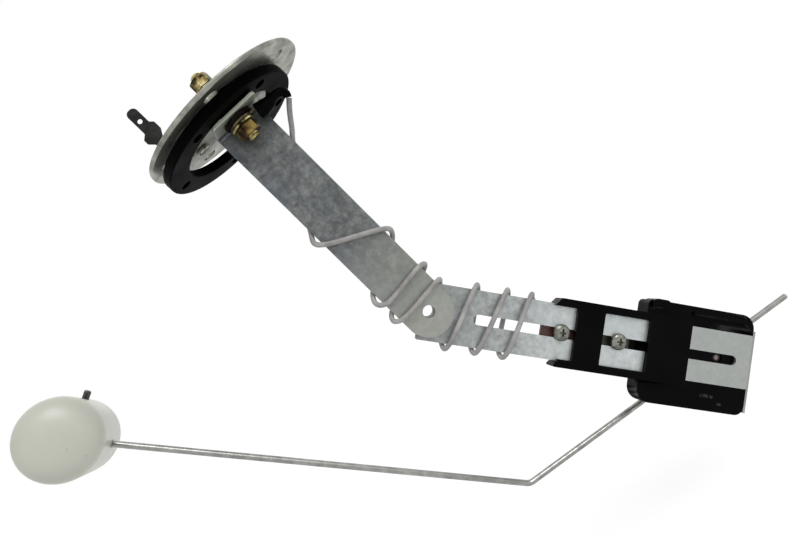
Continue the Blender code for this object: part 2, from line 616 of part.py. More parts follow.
def upper_arm(materials):
    """The folded strip: round end at the knee, foot at the flange."""
    half = UPPER_WIDTH / 2.0
    outer = BEND_INNER_RADIUS + STRIP_THICKNESS
    straight = KNEE_DEPTH + foot_top() - outer
    bend_length = (BEND_INNER_RADIUS + STRIP_THICKNESS / 2.0) * math.pi / 2.0
    flat_length = straight + bend_length + FOOT_REACH - BEND_INNER_RADIUS
    outline = arc((0.0, 0.0), half, math.pi, 2.0 * math.pi, 20)
    corner = flat_length - FOOT_CORNER
    outline += arc((half - FOOT_CORNER, corner), FOOT_CORNER, 0.0, math.pi / 2, 4)
    outline += arc((FOOT_CORNER - half, corner), FOOT_CORNER, math.pi / 2, math.pi, 4)
    blank = extruded(outline, 0.0, STRIP_THICKNESS, "Y")
    for i in range(7):
        place = (0.0, 0.0, straight + bend_length * i / 6.0)
        geometry = blank.verts[:] + blank.edges[:] + blank.faces[:]
        bmesh.ops.bisect_plane(blank, geom=geometry, plane_co=place, plane_no=(0.0, 0.0, 1.0), dist=0.01 * MM)
    for vert in blank.verts:
        across, through, along = vert.co
        vert.co = fold_point(across, along, through)
    arm = mesh_object("upper_arm", blank, materials["strip_zinc"])
    knee = disc(KNEE_HOLE_RADIUS, UPPER_FRONT_Y - MM, UPPER_FRONT_Y + 3 * MM, axis="Y",
                centre=(0.0, -KNEE_DEPTH))
    boolean(arm, mesh_object("upper_knee_hole", knee))
    stud = disc(STUD_HOLE_RADIUS, foot_bottom() - MM, foot_top() + MM, centre=(0.0, STUD_Y))
    boolean(arm, mesh_object("foot_stud_hole", stud))


def lower_arm(frame, materials):
    """The straight strip, in its own frame: X runs from the knee to its free end, Z is across it."""
    half = LOWER_WIDTH / 2.0
    outline = rectangle(-LOWER_BEFORE_KNEE, LOWER_AFTER_KNEE, -half, half, LOWER_CORNER)
    arm = mesh_object("lower_arm", extruded(outline, LOWER_FRONT_Y, LOWER_BACK_Y),
                      materials["strip_zinc"], frame)
    slot = slot_outline(SLOT_START, SLOT_END, SLOT_WIDTH, SLOT_CENTRE)
    slot_tool = extruded(slot, LOWER_FRONT_Y - MM, LOWER_BACK_Y + MM)
    boolean(arm, mesh_object("lower_slot", slot_tool, parent=frame))
    knee = disc(KNEE_HOLE_RADIUS, LOWER_FRONT_Y - MM, LOWER_BACK_Y + MM, axis="Y", centre=LOWER_HOLE_SHIFT)
    boolean(arm, mesh_object("lower_knee_hole", knee, parent=frame))


def box_outline(inset=0.0):
    """The sensor box seen from the front, with the raised boss at its upper edge."""
    top = BOX_TOP - inset
    bottom = BOX_BOTTOM + inset
    start = BOX_START + inset
    end = BOX_END - inset
    corner = BOX_CORNER - inset
    return [(start, bottom, corner), (end, bottom, corner * 0.7), (end, top, corner),
            (start, top, corner * 0.35)]


def housing(frame, materials):
    """One moulding: a slide that wraps the strip, two crossbars, and the sensor box open at the back."""
    channel = LOWER_WIDTH / 2.0 + GAP
    outer = channel + RAIL_WALL
    lip = channel - LIP_OVERLAP
    front_inner = LOWER_FRONT_Y - GAP
    front = front_inner - FRONT_WALL
    black = materials["black_plastic"]

    box = extruded(filleted(box_outline(), 6), BOX_FRONT_Y, BOX_BACK_Y)
    body = mesh_object("sensor_housing", box, black, frame)
    bump_start = BOX_START + BUMP_FROM_BOX
    bump_end = bump_start + BUMP_LENGTH
    bump_top = BOX_TOP + BUMP_HEIGHT
    bump = extruded(filleted([(bump_start, BOX_TOP - 3 * MM, 0.0), (bump_end, BOX_TOP - 3 * MM, 0.0),
                              (bump_end, bump_top, 1.4 * MM), (bump_start, bump_top, 2.0 * MM)]),
                    BOX_FRONT_Y - 1.2 * MM, BOX_BACK_Y - 2.0 * MM)
    boolean(body, mesh_object("housing_bump", bump, parent=frame), "UNION")
    rib_low = BOX_TOP - 3.6 * MM
    rib = extruded(rectangle(RIB_START, RIB_END, rib_low, rib_low + RIB_WIDTH, 0.5 * MM),
                   BOX_FRONT_Y - RIB_HEIGHT, BOX_FRONT_Y + MM)
    boolean(body, mesh_object("housing_rib", rib, parent=frame), "UNION")
    slide_outline = filleted([
        (LOWER_RAIL_START, -outer, 0.0), (SECOND_BAR[1], -outer, 0.0), (SECOND_BAR[1], outer, 0.0),
        (UPPER_RAIL_START, outer, 0.0), (UPPER_RAIL_START - RAIL_SLANT, channel - LIP_OVERLAP, 0.0),
        (LOWER_RAIL_START + RAIL_SLANT, LIP_OVERLAP - channel, 0.0)])
    slide = extruded(slide_outline, front, SLIDE_BACK_Y)
    boolean(body, mesh_object("housing_slide", slide, parent=frame), "UNION")

    cavity_back = PLATE_BACK_Y + GAP
    strip_way = extruded(rectangle(LOWER_RAIL_START - 9 * MM, BOX_START - MM, -channel, channel), front_inner,
                         cavity_back)
    boolean(body, mesh_object("housing_plate_way", strip_way, parent=frame))
    deep_way = extruded(rectangle(BOX_START - 2 * MM, SECOND_BAR[1] + MM, -channel, channel), front_inner,
                        LOWER_BACK_Y + GAP)
    boolean(body, mesh_object("housing_strip_way", deep_way, parent=frame))
    open_way = extruded(rectangle(SECOND_BAR[1], BOX_END + 9 * MM, -channel, channel), front - 2 * MM,
                        LOWER_BACK_Y + GAP)
    boolean(body, mesh_object("housing_open_way", open_way, parent=frame))
    windows = ((LOWER_RAIL_START - 9 * MM, FIRST_BAR[0]), (FIRST_BAR[1], SECOND_BAR[0]))
    for i, (start, end) in enumerate(windows):
        window = extruded(rectangle(start, end, -lip, lip), front - MM, front_inner + 0.5 * MM)
        boolean(body, mesh_object(f"housing_window_{i + 1}", window, parent=frame))
    back_trim = extruded(rectangle(LOWER_RAIL_START - 9 * MM, BACK_START, -lip, lip), cavity_back - 0.5 * MM,
                         SLIDE_BACK_Y + MM)
    boolean(body, mesh_object("housing_back_trim", back_trim, parent=frame))

    cavity = extruded(filleted(box_outline(BOX_WALL), 4), LOWER_BACK_Y + GAP + BOX_FLOOR, BOX_BACK_Y + MM)
    room = mesh_object("housing_cavity", cavity, parent=frame)
    for i, place in enumerate(COVER_SCREWS):
        boss = disc(BOSS_RADIUS, LOWER_FRONT_Y, BOX_BACK_Y + 2 * MM, TINY_FACETS, "Y", place)
        boolean(room, mesh_object(f"cavity_boss_{i + 1}", boss, parent=frame))
    boolean(body, room)
    for i, place in enumerate(COVER_SCREWS):
        depth = BOX_BACK_Y - COVER_SCREW_LENGTH
        pilot = disc(COVER_SHANK_RADIUS + GAP, depth, BOX_BACK_Y + MM, TINY_FACETS, "Y", place)
        boolean(body, mesh_object(f"housing_pilot_{i + 1}", pilot, parent=frame))
    bore = CLAMP_SHANK_RADIUS + GAP
    for i, along in enumerate(CLAMP_SCREWS):
        hole = disc(bore, PLATE_BACK_Y - MM, SLIDE_BACK_Y + MM, axis="Y", centre=(along, 0.0))
        boolean(body, mesh_object(f"housing_screw_hole_{i + 1}", hole, parent=frame))
    head_low = LOWER_BACK_Y + GAP
    head_high = head_low + PIN_HEAD_HEIGHT + 2 * GAP
    pin_way = turned([(0.0, head_low - MM), (PIN_HEAD_RADIUS + GAP, head_low - MM),
                      (PIN_HEAD_RADIUS + GAP, head_high), (PIN_RADIUS + GAP, head_high),
                      (PIN_RADIUS + GAP, BOX_BACK_Y), (0.0, BOX_BACK_Y)], axis="Y", centre=(PIVOT, 0.0))
    boolean(body, mesh_object("housing_pin_way", pin_way, parent=frame))
    tag_way = extruded(rectangle(TAG_Y - GAP, TAG_Y + TAG_THICKNESS + GAP, TAG_W - TAG_WIDTH / 2 - GAP,
                                 TAG_W + TAG_WIDTH / 2 + GAP), BOX_START - MM, BOX_START + BOX_WALL + MM, "X")
    boolean(body, mesh_object("housing_tag_way", tag_way, parent=frame))


def pan_screw(name, frame, material, place, seat, head, shank, towards):
    """A cross-recess pan-head screw along Y. The head stands off seat, away from towards (+1 or -1)."""
    head_radius, head_height = head
    shank_radius, shank_end = shank
    top = seat - towards * head_height
    dome = 0.35 * head_height * towards
    profile = [(0.0, top), (head_radius * 0.72, top), (head_radius * 0.93, top + dome),
               (head_radius, top + 1.7 * dome), (head_radius, seat), (shank_radius, seat),
               (shank_radius, shank_end - towards * 0.3 * MM),
               (shank_radius - 0.3 * MM, shank_end), (0.0, shank_end)]
    screw = mesh_object(name, turned(profile, axis="Y", centre=place), material, frame)
    arm_length = head_radius * 0.58
    arm_width = head_radius * 0.13
    depth = head_height * 0.55
    for i, (long_u, long_v) in enumerate(((arm_length, arm_width), (arm_width, arm_length))):
        outline = rectangle(place[0] - long_u, place[0] + long_u, place[1] - long_v, place[1] + long_v)
        near = top - towards * MM
        far = top + towards * depth
        recess = extruded(outline, min(near, far), max(near, far))
        boolean(screw, mesh_object(f"{name}_recess_{i + 1}", recess, parent=frame))
    return screw


def clamp(frame, materials):
    """Two screws, a brown plate and two square nuts clamp the slide to the slotted arm."""
    half = CLAMP_PLATE_WIDTH / 2.0
    low = LOWER_BACK_Y + GAP
    outline = rectangle(CLAMP_PLATE_START, CLAMP_PLATE_END, -half, half, 0.8 * MM)
    plate = mesh_object("clamp_plate", extruded(outline, low, PLATE_BACK_Y), materials["brown_board"], frame)
    nut_low = SLIDE_BACK_Y + GAP
    nut_high = nut_low + CLAMP_NUT_HEIGHT
    half = CLAMP_NUT_WIDTH / 2.0
    for i, along in enumerate(CLAMP_SCREWS):
        hole = disc(CLAMP_SHANK_RADIUS + GAP, low - MM, PLATE_BACK_Y + MM, axis="Y", centre=(along, 0.0))
        boolean(plate, mesh_object(f"clamp_plate_hole_{i + 1}", hole, parent=frame))
        seat = LOWER_FRONT_Y - GAP
        pan_screw(f"clamp_screw_{i + 1}", frame, materials["bright_zinc"], (along, 0.0), seat,
                  (CLAMP_HEAD_RADIUS, CLAMP_HEAD_HEIGHT), (CLAMP_SHANK_RADIUS, nut_high + MM), 1.0)
        square = rectangle(along - half, along + half, -half, half, 0.5 * MM)
        nut = mesh_object(f"clamp_nut_{i + 1}", extruded(square, nut_low, nut_high), materials["bright_zinc"],
                          frame)
        bore = disc(CLAMP_SHANK_RADIUS + GAP, nut_low - MM, nut_high + MM, axis="Y", centre=(along, 0.0))
        boolean(nut, mesh_object(f"clamp_nut_bore_{i + 1}", bore, parent=frame))


def rear_cover(frame, materials):
    """A zinc plate on the open back of the box, with one side folded forward past the box's end."""
    low = BOX_BACK_Y + GAP
    flap_low = BOX_END + GAP
    flap_high = flap_low + COVER_THICKNESS
    inset = COVER_INSET
    corner = BOX_CORNER - inset
    outline = filleted([(BOX_START + inset, BOX_BOTTOM + inset, corner),
                        (BOX_END - 4 * MM, BOX_BOTTOM + inset, 0.0),
                        (flap_high, COVER_FLAP_BOTTOM, 0.0), (flap_high, COVER_FLAP_TOP, 0.0),
                        (BOX_END - 4 * MM, BOX_TOP - inset, 0.0),
                        (BOX_START + inset, BOX_TOP - inset, 2.0 * MM)])
    cover = mesh_object("rear_cover", extruded(outline, low, COVER_BACK_Y), materials["bright_zinc"], frame)
    flap = extruded(rectangle(flap_low, flap_high, COVER_FLAP_BOTTOM, COVER_FLAP_TOP), LOWER_FRONT_Y + MM,
                    low + COVER_THICKNESS / 2.0)
    boolean(cover, mesh_object("cover_flap", flap, parent=frame), "UNION")
    hub_hole = disc(HUB_BOSS_RADIUS + 2 * GAP, low - MM, COVER_BACK_Y + MM, HUB_FACETS, "Y", (PIVOT, 0.0))
    boolean(cover, mesh_object("cover_hub_hole", hub_hole, parent=frame))
    for i, place in enumerate(COVER_SCREWS):
        hole = disc(COVER_SHANK_RADIUS + GAP, low - MM, COVER_BACK_Y + MM, TINY_FACETS, "Y", place)
        boolean(cover, mesh_object(f"cover_screw_hole_{i + 1}", hole, parent=frame))
        shank_end = BOX_BACK_Y - COVER_SCREW_LENGTH + GAP
        pan_screw(f"cover_screw_{i + 1}", frame, materials["bright_zinc"], place, COVER_BACK_Y + GAP,
                  (COVER_HEAD_RADIUS, COVER_HEAD_HEIGHT), (COVER_SHANK_RADIUS, shank_end), -1.0)


def resistor_card(frame, materials):
    """A curved card that stands on the floor of the box, round the pivot."""
    low = LOWER_BACK_Y + GAP + BOX_FLOOR + GAP
    start, end = CARD_SWEEP
    inner = arc((PIVOT, 0.0), CARD_RADIUS, start, end, 18)
    outer = arc((PIVOT, 0.0), CARD_RADIUS + CARD_THICKNESS, end, start, 18)
    card = extruded(inner + outer, low, low + CARD_HEIGHT)
    mesh_object("resistor_card", card, materials["brown_board"], frame)


def lead_tag(frame, materials):
    """A brass tag through the left wall of the box; the lead is soldered to it."""
    half = TAG_WIDTH / 2.0
    inner_end = BOX_START + BOX_WALL + 2 * MM
    outline = rectangle(BOX_START - TAG_REACH, inner_end, TAG_W - half, TAG_W + half, 0.5 * MM)
    mesh_object("lead_tag", extruded(outline, TAG_Y, TAG_Y + TAG_THICKNESS), materials["brass"], frame)


def pivot_pin(frame, materials):
    """The pin's flat head lies in the floor of the strip's way, and its clip holds the hub."""
    head_low = LOWER_BACK_Y + 2 * GAP
    end = HUB_BACK_Y + GAP + CLIP_THICKNESS + MM
    profile = [(0.0, head_low), (PIN_HEAD_RADIUS, head_low), (PIN_HEAD_RADIUS, head_low + PIN_HEAD_HEIGHT),
               (PIN_RADIUS, head_low + PIN_HEAD_HEIGHT), (PIN_RADIUS, end - 0.3 * MM),
               (PIN_RADIUS - 0.3 * MM, end), (0.0, end)]
    mesh_object("pivot_pin", turned(profile, axis="Y", centre=(PIVOT, 0.0)), materials["bright_zinc"], frame)
    low = HUB_BACK_Y + GAP
    inner = PIN_RADIUS + GAP
    mouth = math.radians(35.0)
    outline = arc((PIVOT, 0.0), CLIP_RADIUS, mouth, 2 * math.pi - mouth, 18)
    outline += arc((PIVOT, 0.0), inner, 2 * math.pi - mouth, mouth, 14)
    mesh_object("pivot_clip", extruded(outline, low, low + CLIP_THICKNESS), materials["dark_plating"], frame)


def polar(radius, angle):
    return (radius * math.cos(angle), radius * math.sin(angle))


def rod_point(along):
    """A point of the wire's first leg: along is measured from the foot of the pivot's perpendicular."""
    right, up = polar(1.0, ROD_FIRST_ANGLE)
    return (ROD_OFFSET * up + along * right, along * up - ROD_OFFSET * right)


def rotor_hub(pivot, materials):
    """The hub turns on the pin. Its block behind the cover holds the wire under two small screws."""
    low = COVER_BACK_Y + GAP + HUB_COLLAR_HEIGHT
    boss_low = LOWER_BACK_Y + GAP + BOX_FLOOR + GAP
    turn = Matrix.Rotation(-ROD_FIRST_ANGLE, 3, "Y")
    half = HUB_BLOCK_LENGTH / 2.0
    bottom = -ROD_OFFSET - HUB_WALL
    top = -ROD_OFFSET + HUB_WALL
    shoulder = top + 2.5 * MM
    crown = HUB_ROUND_RADIUS * 0.6
    corners = [(-half, bottom, 1.2 * MM), (half, bottom, 1.2 * MM), (half, top, 1.6 * MM),
               (HUB_ROUND_RADIUS, shoulder, 2.0 * MM), (crown, HUB_ROUND_RADIUS, 2.5 * MM),
               (-crown, HUB_ROUND_RADIUS, 2.5 * MM), (-HUB_ROUND_RADIUS, shoulder, 2.0 * MM),
               (-half, top, 1.6 * MM)]
    block = extruded(filleted(corners), low, HUB_BACK_Y)
    bmesh.ops.rotate(block, verts=block.verts, matrix=turn)
    hub = mesh_object("rotor_hub", block, materials["hub_plastic"], pivot)
    collar_low = COVER_BACK_Y + GAP
    boss = turned([(0.0, boss_low), (HUB_BOSS_RADIUS, boss_low), (HUB_BOSS_RADIUS, collar_low),
                   (HUB_COLLAR_RADIUS, collar_low), (HUB_COLLAR_RADIUS, low + 0.5 * MM),
                   (0.0, low + 0.5 * MM)], HUB_FACETS, "Y")
    boolean(hub, mesh_object("hub_boss", boss, parent=pivot), "UNION")
    bore = disc(PIN_RADIUS + GAP, boss_low - MM, HUB_BACK_Y + MM, axis="Y")
    boolean(hub, mesh_object("hub_bore", bore, parent=pivot))
    groove = turned([(HUB_BOSS_RADIUS - 0.6 * MM, WIPER_Y - GAP), (HUB_BOSS_RADIUS + MM, WIPER_Y - GAP),
                     (HUB_BOSS_RADIUS + MM, WIPER_Y + WIPER_THICKNESS + GAP),
                     (HUB_BOSS_RADIUS - 0.6 * MM, WIPER_Y + WIPER_THICKNESS + GAP)], HUB_FACETS, "Y")
    boolean(hub, mesh_object("hub_groove", groove, parent=pivot))
    way = disc(ROD_RADIUS + GAP, -HUB_BLOCK_LENGTH, HUB_BLOCK_LENGTH, TINY_FACETS)
    bmesh.ops.rotate(way, verts=way.verts, matrix=Matrix.Rotation(math.pi / 2 - ROD_FIRST_ANGLE, 3, "Y"))
    foot = rod_point(0.0)
    bmesh.ops.translate(way, verts=way.verts, vec=(foot[0], ROD_Y, foot[1]))
    boolean(hub, mesh_object("hub_rod_way", way, parent=pivot))
    for i, along in enumerate(ROD_CLAMP_PLACES):
        place = rod_point(along)
        hole = disc(ROD_CLAMP_SHANK_RADIUS + GAP, ROD_Y, HUB_BACK_Y + MM, TINY_FACETS, "Y", place)
        boolean(hub, mesh_object(f"hub_clamp_hole_{i + 1}", hole, parent=pivot))
        pan_screw(f"rod_clamp_screw_{i + 1}", pivot, materials["bright_zinc"], place, HUB_BACK_Y + GAP,
                  (ROD_CLAMP_HEAD_RADIUS, ROD_CLAMP_HEAD_HEIGHT),
                  (ROD_CLAMP_SHANK_RADIUS, ROD_Y + ROD_RADIUS + GAP), -1.0)


def wiper_arm(pivot, materials):
    """A thin bronze finger: a ring snapped in the boss's groove, and an arm that reaches the card."""
    angle = WIPER_ANGLE - (math.pi / 2 - LOWER_ANGLE)
    half = WIPER_WIDTH / 2.0
    inner = HUB_BOSS_RADIUS - 0.3 * MM
    outer = inner + 2.2 * MM
    join = math.asin(half / outer)
    corners = arc((0.0, 0.0), outer, angle + join, angle + 2 * math.pi - join, 28)
    tip = polar(WIPER_TIP_RADIUS, angle)
    side = (-half * 0.6 * math.sin(angle), half * 0.6 * math.cos(angle))
    corners += [(tip[0] - side[0], tip[1] - side[1]), (tip[0] + side[0], tip[1] + side[1])]
    blade = extruded(corners, WIPER_Y, WIPER_Y + WIPER_THICKNESS)
    wiper = mesh_object("wiper_arm", blade, materials["bronze"], pivot)
    bore = disc(inner, WIPER_Y - MM, WIPER_Y + WIPER_THICKNESS + MM, HUB_FACETS, "Y")
    boolean(wiper, mesh_object("wiper_bore", bore, parent=pivot))


def bent_path(corners, radii, facets=6):
    """Points of a wire through 2-D corners, with an arc of its own radius at each inner corner."""
    path = [corners[0]]
    for before, here, after, radius in zip(corners, corners[1:], corners[2:], radii):
        back = (Vector(before) - Vector(here)).normalized()
        ahead = (Vector(after) - Vector(here)).normalized()
        half = back.angle(ahead) / 2.0
        start = Vector(here) + back * radius / math.tan(half)
        end = Vector(here) + ahead * radius / math.tan(half)
        middle = Vector(here) + (back + ahead).normalized() * radius / math.sin(half)
        first = math.atan2(start.y - middle.y, start.x - middle.x)
        turn = (start - middle).angle_signed(end - middle)
        path += arc(middle, radius, first, first - turn, facets)
    return path + [corners[-1]]


def wire_curve(name, points, radius, material=None, parent=None, resolution=2):
    """A round wire along 3-D points, with filled ends."""
    curve = bpy.data.curves.new(name, "CURVE")
    curve.dimensions = "3D"
    curve.bevel_depth = radius
    curve.bevel_resolution = resolution
    curve.use_fill_caps = True
    spline = curve.splines.new("POLY")
    spline.points.add(len(points) - 1)
    for point, place in zip(spline.points, points):
        point.co = (*place, 1.0)
    return link(bpy.data.objects.new(name, curve), material, parent)


def rod_corners():
    """The wire's corners about the pivot: tail, first bend, middle of the float, end of the stub."""
    tail = rod_point(ROD_TAIL)
    bend = rod_point(-ROD_FIRST_LENGTH)
    leg = polar(ROD_SECOND_LENGTH, ROD_SECOND_ANGLE)
    middle = (bend[0] + leg[0], bend[1] + leg[1])
    stub = polar(ROD_STUB_LENGTH, ROD_STUB_ANGLE)
    return [tail, bend, middle, (middle[0] + stub[0], middle[1] + stub[1])]


def rod_and_float(pivot, materials):
    corners = rod_corners()
    path = [(x, ROD_Y, z) for x, z in bent_path(corners, (ROD_BEND_RADIUS, ROD_STUB_BEND))]
    wire_curve("float_rod", path, ROD_RADIUS, materials["steel_wire"], pivot, resolution=3)

    half = FLOAT_LENGTH / 2.0
    radius = FLOAT_END_RADIUS
    inner = FLOAT_RADIUS - radius
    profile = [(0.0, -half)] + arc((inner, radius - half), radius, -math.pi / 2, 0.0, 5)
    profile += arc((inner, half - radius), radius, 0.0, math.pi / 2, 5) + [(0.0, half)]
    body = turned(profile, 40, "Y")
    turn = Matrix.Rotation(FLOAT_LEAN, 3, "Z") @ Matrix.Rotation(-FLOAT_DIP, 3, "X")
    bmesh.ops.rotate(body, verts=body.verts, matrix=turn)
    offset = polar(FLOAT_OFF_WIRE, ROD_SECOND_ANGLE - math.pi / 2)
    middle = (corners[2][0] + offset[0], ROD_Y, corners[2][1] + offset[1])
    bmesh.ops.translate(body, verts=body.verts, vec=middle)
    swimmer = mesh_object("float", body, materials["float_plastic"], pivot, 50.0)
    start = Vector(corners[2]) - Vector(polar(FLOAT_RADIUS * 2.0, ROD_SECOND_ANGLE))
    end = Vector(corners[2]) + Vector(polar(FLOAT_RADIUS * 2.0, ROD_STUB_ANGLE))
    tunnel = bent_path([tuple(start), corners[2], tuple(end)], (ROD_STUB_BEND,), 6)
    tunnel_points = [(x, ROD_Y, z) for x, z in tunnel]
    bore = wire_curve("float_bore", tunnel_points, FLOAT_BORE, parent=pivot, resolution=2)
    boolean(swimmer, as_mesh(bore, pivot))


def as_mesh(obj, parent):
    """Replaces a curve by its mesh, for use as a cutter."""
    mesh = bpy.data.meshes.new_from_object(obj)
    name = obj.name
    bpy.data.objects.remove(obj, do_unlink=True)
    shape = bmesh.new()
    shape.from_mesh(mesh)
    return mesh_object(f"{name}_tool", shape, parent=parent)


def smooth_route(keys, steps):
    """A centripetal Catmull-Rom curve through hand-chosen points, with fewer steps along the long runs."""
    keys = [Vector(key) for key in keys]
    padded = [2 * keys[0] - keys[1]] + keys + [2 * keys[-1] - keys[-2]]
    route = []
    for p0, p1, p2, p3 in zip(padded, padded[1:], padded[2:], padded[3:]):
        t0 = 0.0
        t1 = t0 + math.sqrt((p1 - p0).length)
        t2 = t1 + math.sqrt((p2 - p1).length)
        t3 = t2 + math.sqrt((p3 - p2).length)
        count = steps if (p2 - p1).length < LONG_RUN else 2
        for i in range(count):
            t = t1 + (t2 - t1) * i / count
            a1 = p0.lerp(p1, (t - t0) / (t1 - t0))
            a2 = p1.lerp(p2, (t - t1) / (t2 - t1))
            a3 = p2.lerp(p3, (t - t2) / (t3 - t2))
            b1 = a1.lerp(a2, (t - t0) / (t2 - t0))
            b2 = a2.lerp(a3, (t - t1) / (t3 - t1))
            route.append(b1.lerp(b2, (t - t1) / (t2 - t1)))
    return route + [keys[-1]]


def on_lower(along, y, across):
    """A point given in the lower arm's own frame, in world coordinates."""
    sine = math.sin(LOWER_ANGLE)
    cosine = math.cos(LOWER_ANGLE)
    return (along * sine + across * cosine, y, -KNEE_DEPTH - along * cosine + across * sine)


def sleeve_points(ring_z):
    """Middle line of the black sleeve: out along the tongue, then down at its end."""
    start = RING_TONGUE_LENGTH + GAP
    steps = [(0.0, 0.0, -1.1), (4.0, 0.0, -1.5), (7.0, 0.4, -1.0), (9.3, 0.9, -1.0), (10.9, 1.3, -1.7),
             (11.3, 1.6, -2.9), (10.8, 1.9, -4.0)]
    return [(start + x * MM, STUD_Y + y * MM, ring_z + z * MM) for x, y, z in steps]


def lead_route(ring_z):
    """The lead: out of the sleeve, behind the upper arm, round both arms, and along the back to the tag."""
    clear = GAP + LEAD_RADIUS
    front_upper = UPPER_FRONT_Y - clear
    back_upper = UPPER_FRONT_Y + STRIP_THICKNESS + clear
    front_lower = LOWER_FRONT_Y - clear
    back_lower = LOWER_BACK_Y + clear
    upper_half = UPPER_WIDTH / 2.0
    lower_half = LOWER_WIDTH / 2.0
    reach = 1.9 * MM
    edge = 0.2 * MM
    exit_point = Vector(sleeve_points(ring_z)[-1])
    keys = [exit_point + Vector((0.3 * MM, 0.1 * MM, -1.6 * GAP))]
    way_down = [(6.0, -3.6, -6.9), (4.1, -1.4, -9.3), (2.3, 1.3, -11.7), (0.6, 2.45, -13.5),
                (-5.5, 2.45, -21.2)]
    keys += [(upper_half + x * MM, UPPER_FRONT_Y + y * MM, ring_z + z * MM) for x, y, z in way_down]

    def upper_crossing(left, right, rise, fall, back_y):
        """One pass over the front of the upper arm, round both edges. Heights are above the knee."""
        middle_y = (front_upper + back_y) / 2.0
        left_z = left - KNEE_DEPTH
        right_z = right - KNEE_DEPTH
        return [(-upper_half + edge, back_upper, left_z + rise),
                (-upper_half - reach, middle_y, left_z + 0.4 * rise),
                (-upper_half + edge, front_upper, left_z),
                (upper_half - edge, front_upper, right_z),
                (upper_half + reach, middle_y, right_z - 0.4 * fall),
                (upper_half - edge, back_y, right_z - fall)]

    def lower_crossing(bottom, top):
        """One pass over the front of the lower arm, round both its edges."""
        middle_y = (front_lower + back_lower) / 2.0
        return [on_lower(bottom - 2.2 * MM, back_lower, -lower_half + edge),
                on_lower(bottom - 1.1 * MM, middle_y, -lower_half - reach),
                on_lower(bottom, front_lower, -lower_half + edge),
                on_lower(top, front_lower, lower_half - edge),
                on_lower(top + 1.4 * MM, middle_y, lower_half + reach),
                on_lower(top + 2.5 * MM, back_lower, lower_half + edge)]

    keys += upper_crossing(43.0 * MM, 32.4 * MM, 6.6 * MM, 5.5 * MM, back_upper)
    keys += upper_crossing(13.3 * MM, 13.9 * MM, 5.6 * MM, 2.6 * MM, back_upper)
    keys += upper_crossing(5.3 * MM, 5.7 * MM, 4.0 * MM, 1.6 * MM, back_lower)[:-1]
    keys += [on_lower(3.2 * MM, back_lower, lower_half + edge)]
    keys += lower_crossing(9.3 * MM, 15.2 * MM)
    keys += lower_crossing(20.5 * MM, 26.9 * MM)
    keys += lower_crossing(31.2 * MM, 36.5 * MM)
    end_y = TAG_Y + TAG_THICKNESS + clear
    keys += [on_lower(44.0 * MM, TAG_Y, TAG_W + 1.6 * MM), on_lower(52.0 * MM, end_y - 0.3 * MM, TAG_W),
             on_lower(66.0 * MM, end_y, TAG_W), on_lower(BOX_START - 1.5 * MM, end_y, TAG_W)]
    return keys


def lead_and_sleeve(ring_z, materials):
    route = smooth_route(lead_route(ring_z), LEAD_STEPS)
    wire_curve("lead_wire", route, LEAD_RADIUS, materials["lead_grey"])
    middle = smooth_route(sleeve_points(ring_z), 4)
    sleeve = wire_curve("lead_sleeve", middle, SLEEVE_RADIUS, materials["black_rubber"])
    points = sleeve.data.splines[0].points
    slim = SLEEVE_END_RADIUS / SLEEVE_RADIUS
    for i, point in enumerate(points):
        share = i / (len(points) - 1)
        point.radius = 1.0 + (slim - 1.0) * min(max(share - 0.2, 0.0) / 0.4, 1.0)


def build():
    clear_scene()
    materials = make_materials()
    flange_and_gasket(materials)
    ring_z = stud_group(materials)
    ground_tab(materials)
    upper_arm(materials)
    knee_turn = math.pi / 2 - LOWER_ANGLE
    frame = make_empty("lower_arm_frame", (0.0, 0.0, -KNEE_DEPTH), (0.0, knee_turn, 0.0))
    lower_arm(frame, materials)
    lead_and_sleeve(ring_z, materials)
    housing(frame, materials)
    clamp(frame, materials)
    resistor_card(frame, materials)
    lead_tag(frame, materials)
    pivot_pin(frame, materials)
    rear_cover(frame, materials)
    pivot = make_empty("float_pivot", on_lower(PIVOT, 0.0, 0.0))
    rotor_hub(pivot, materials)
    wiper_arm(pivot, materials)
    rod_and_float(pivot, materials)


build()
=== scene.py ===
"""Fuel level sender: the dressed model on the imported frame. Metres, +Z up out of the tank."""

import math

import bmesh
import bpy
from mathutils import Euler, Matrix, Vector


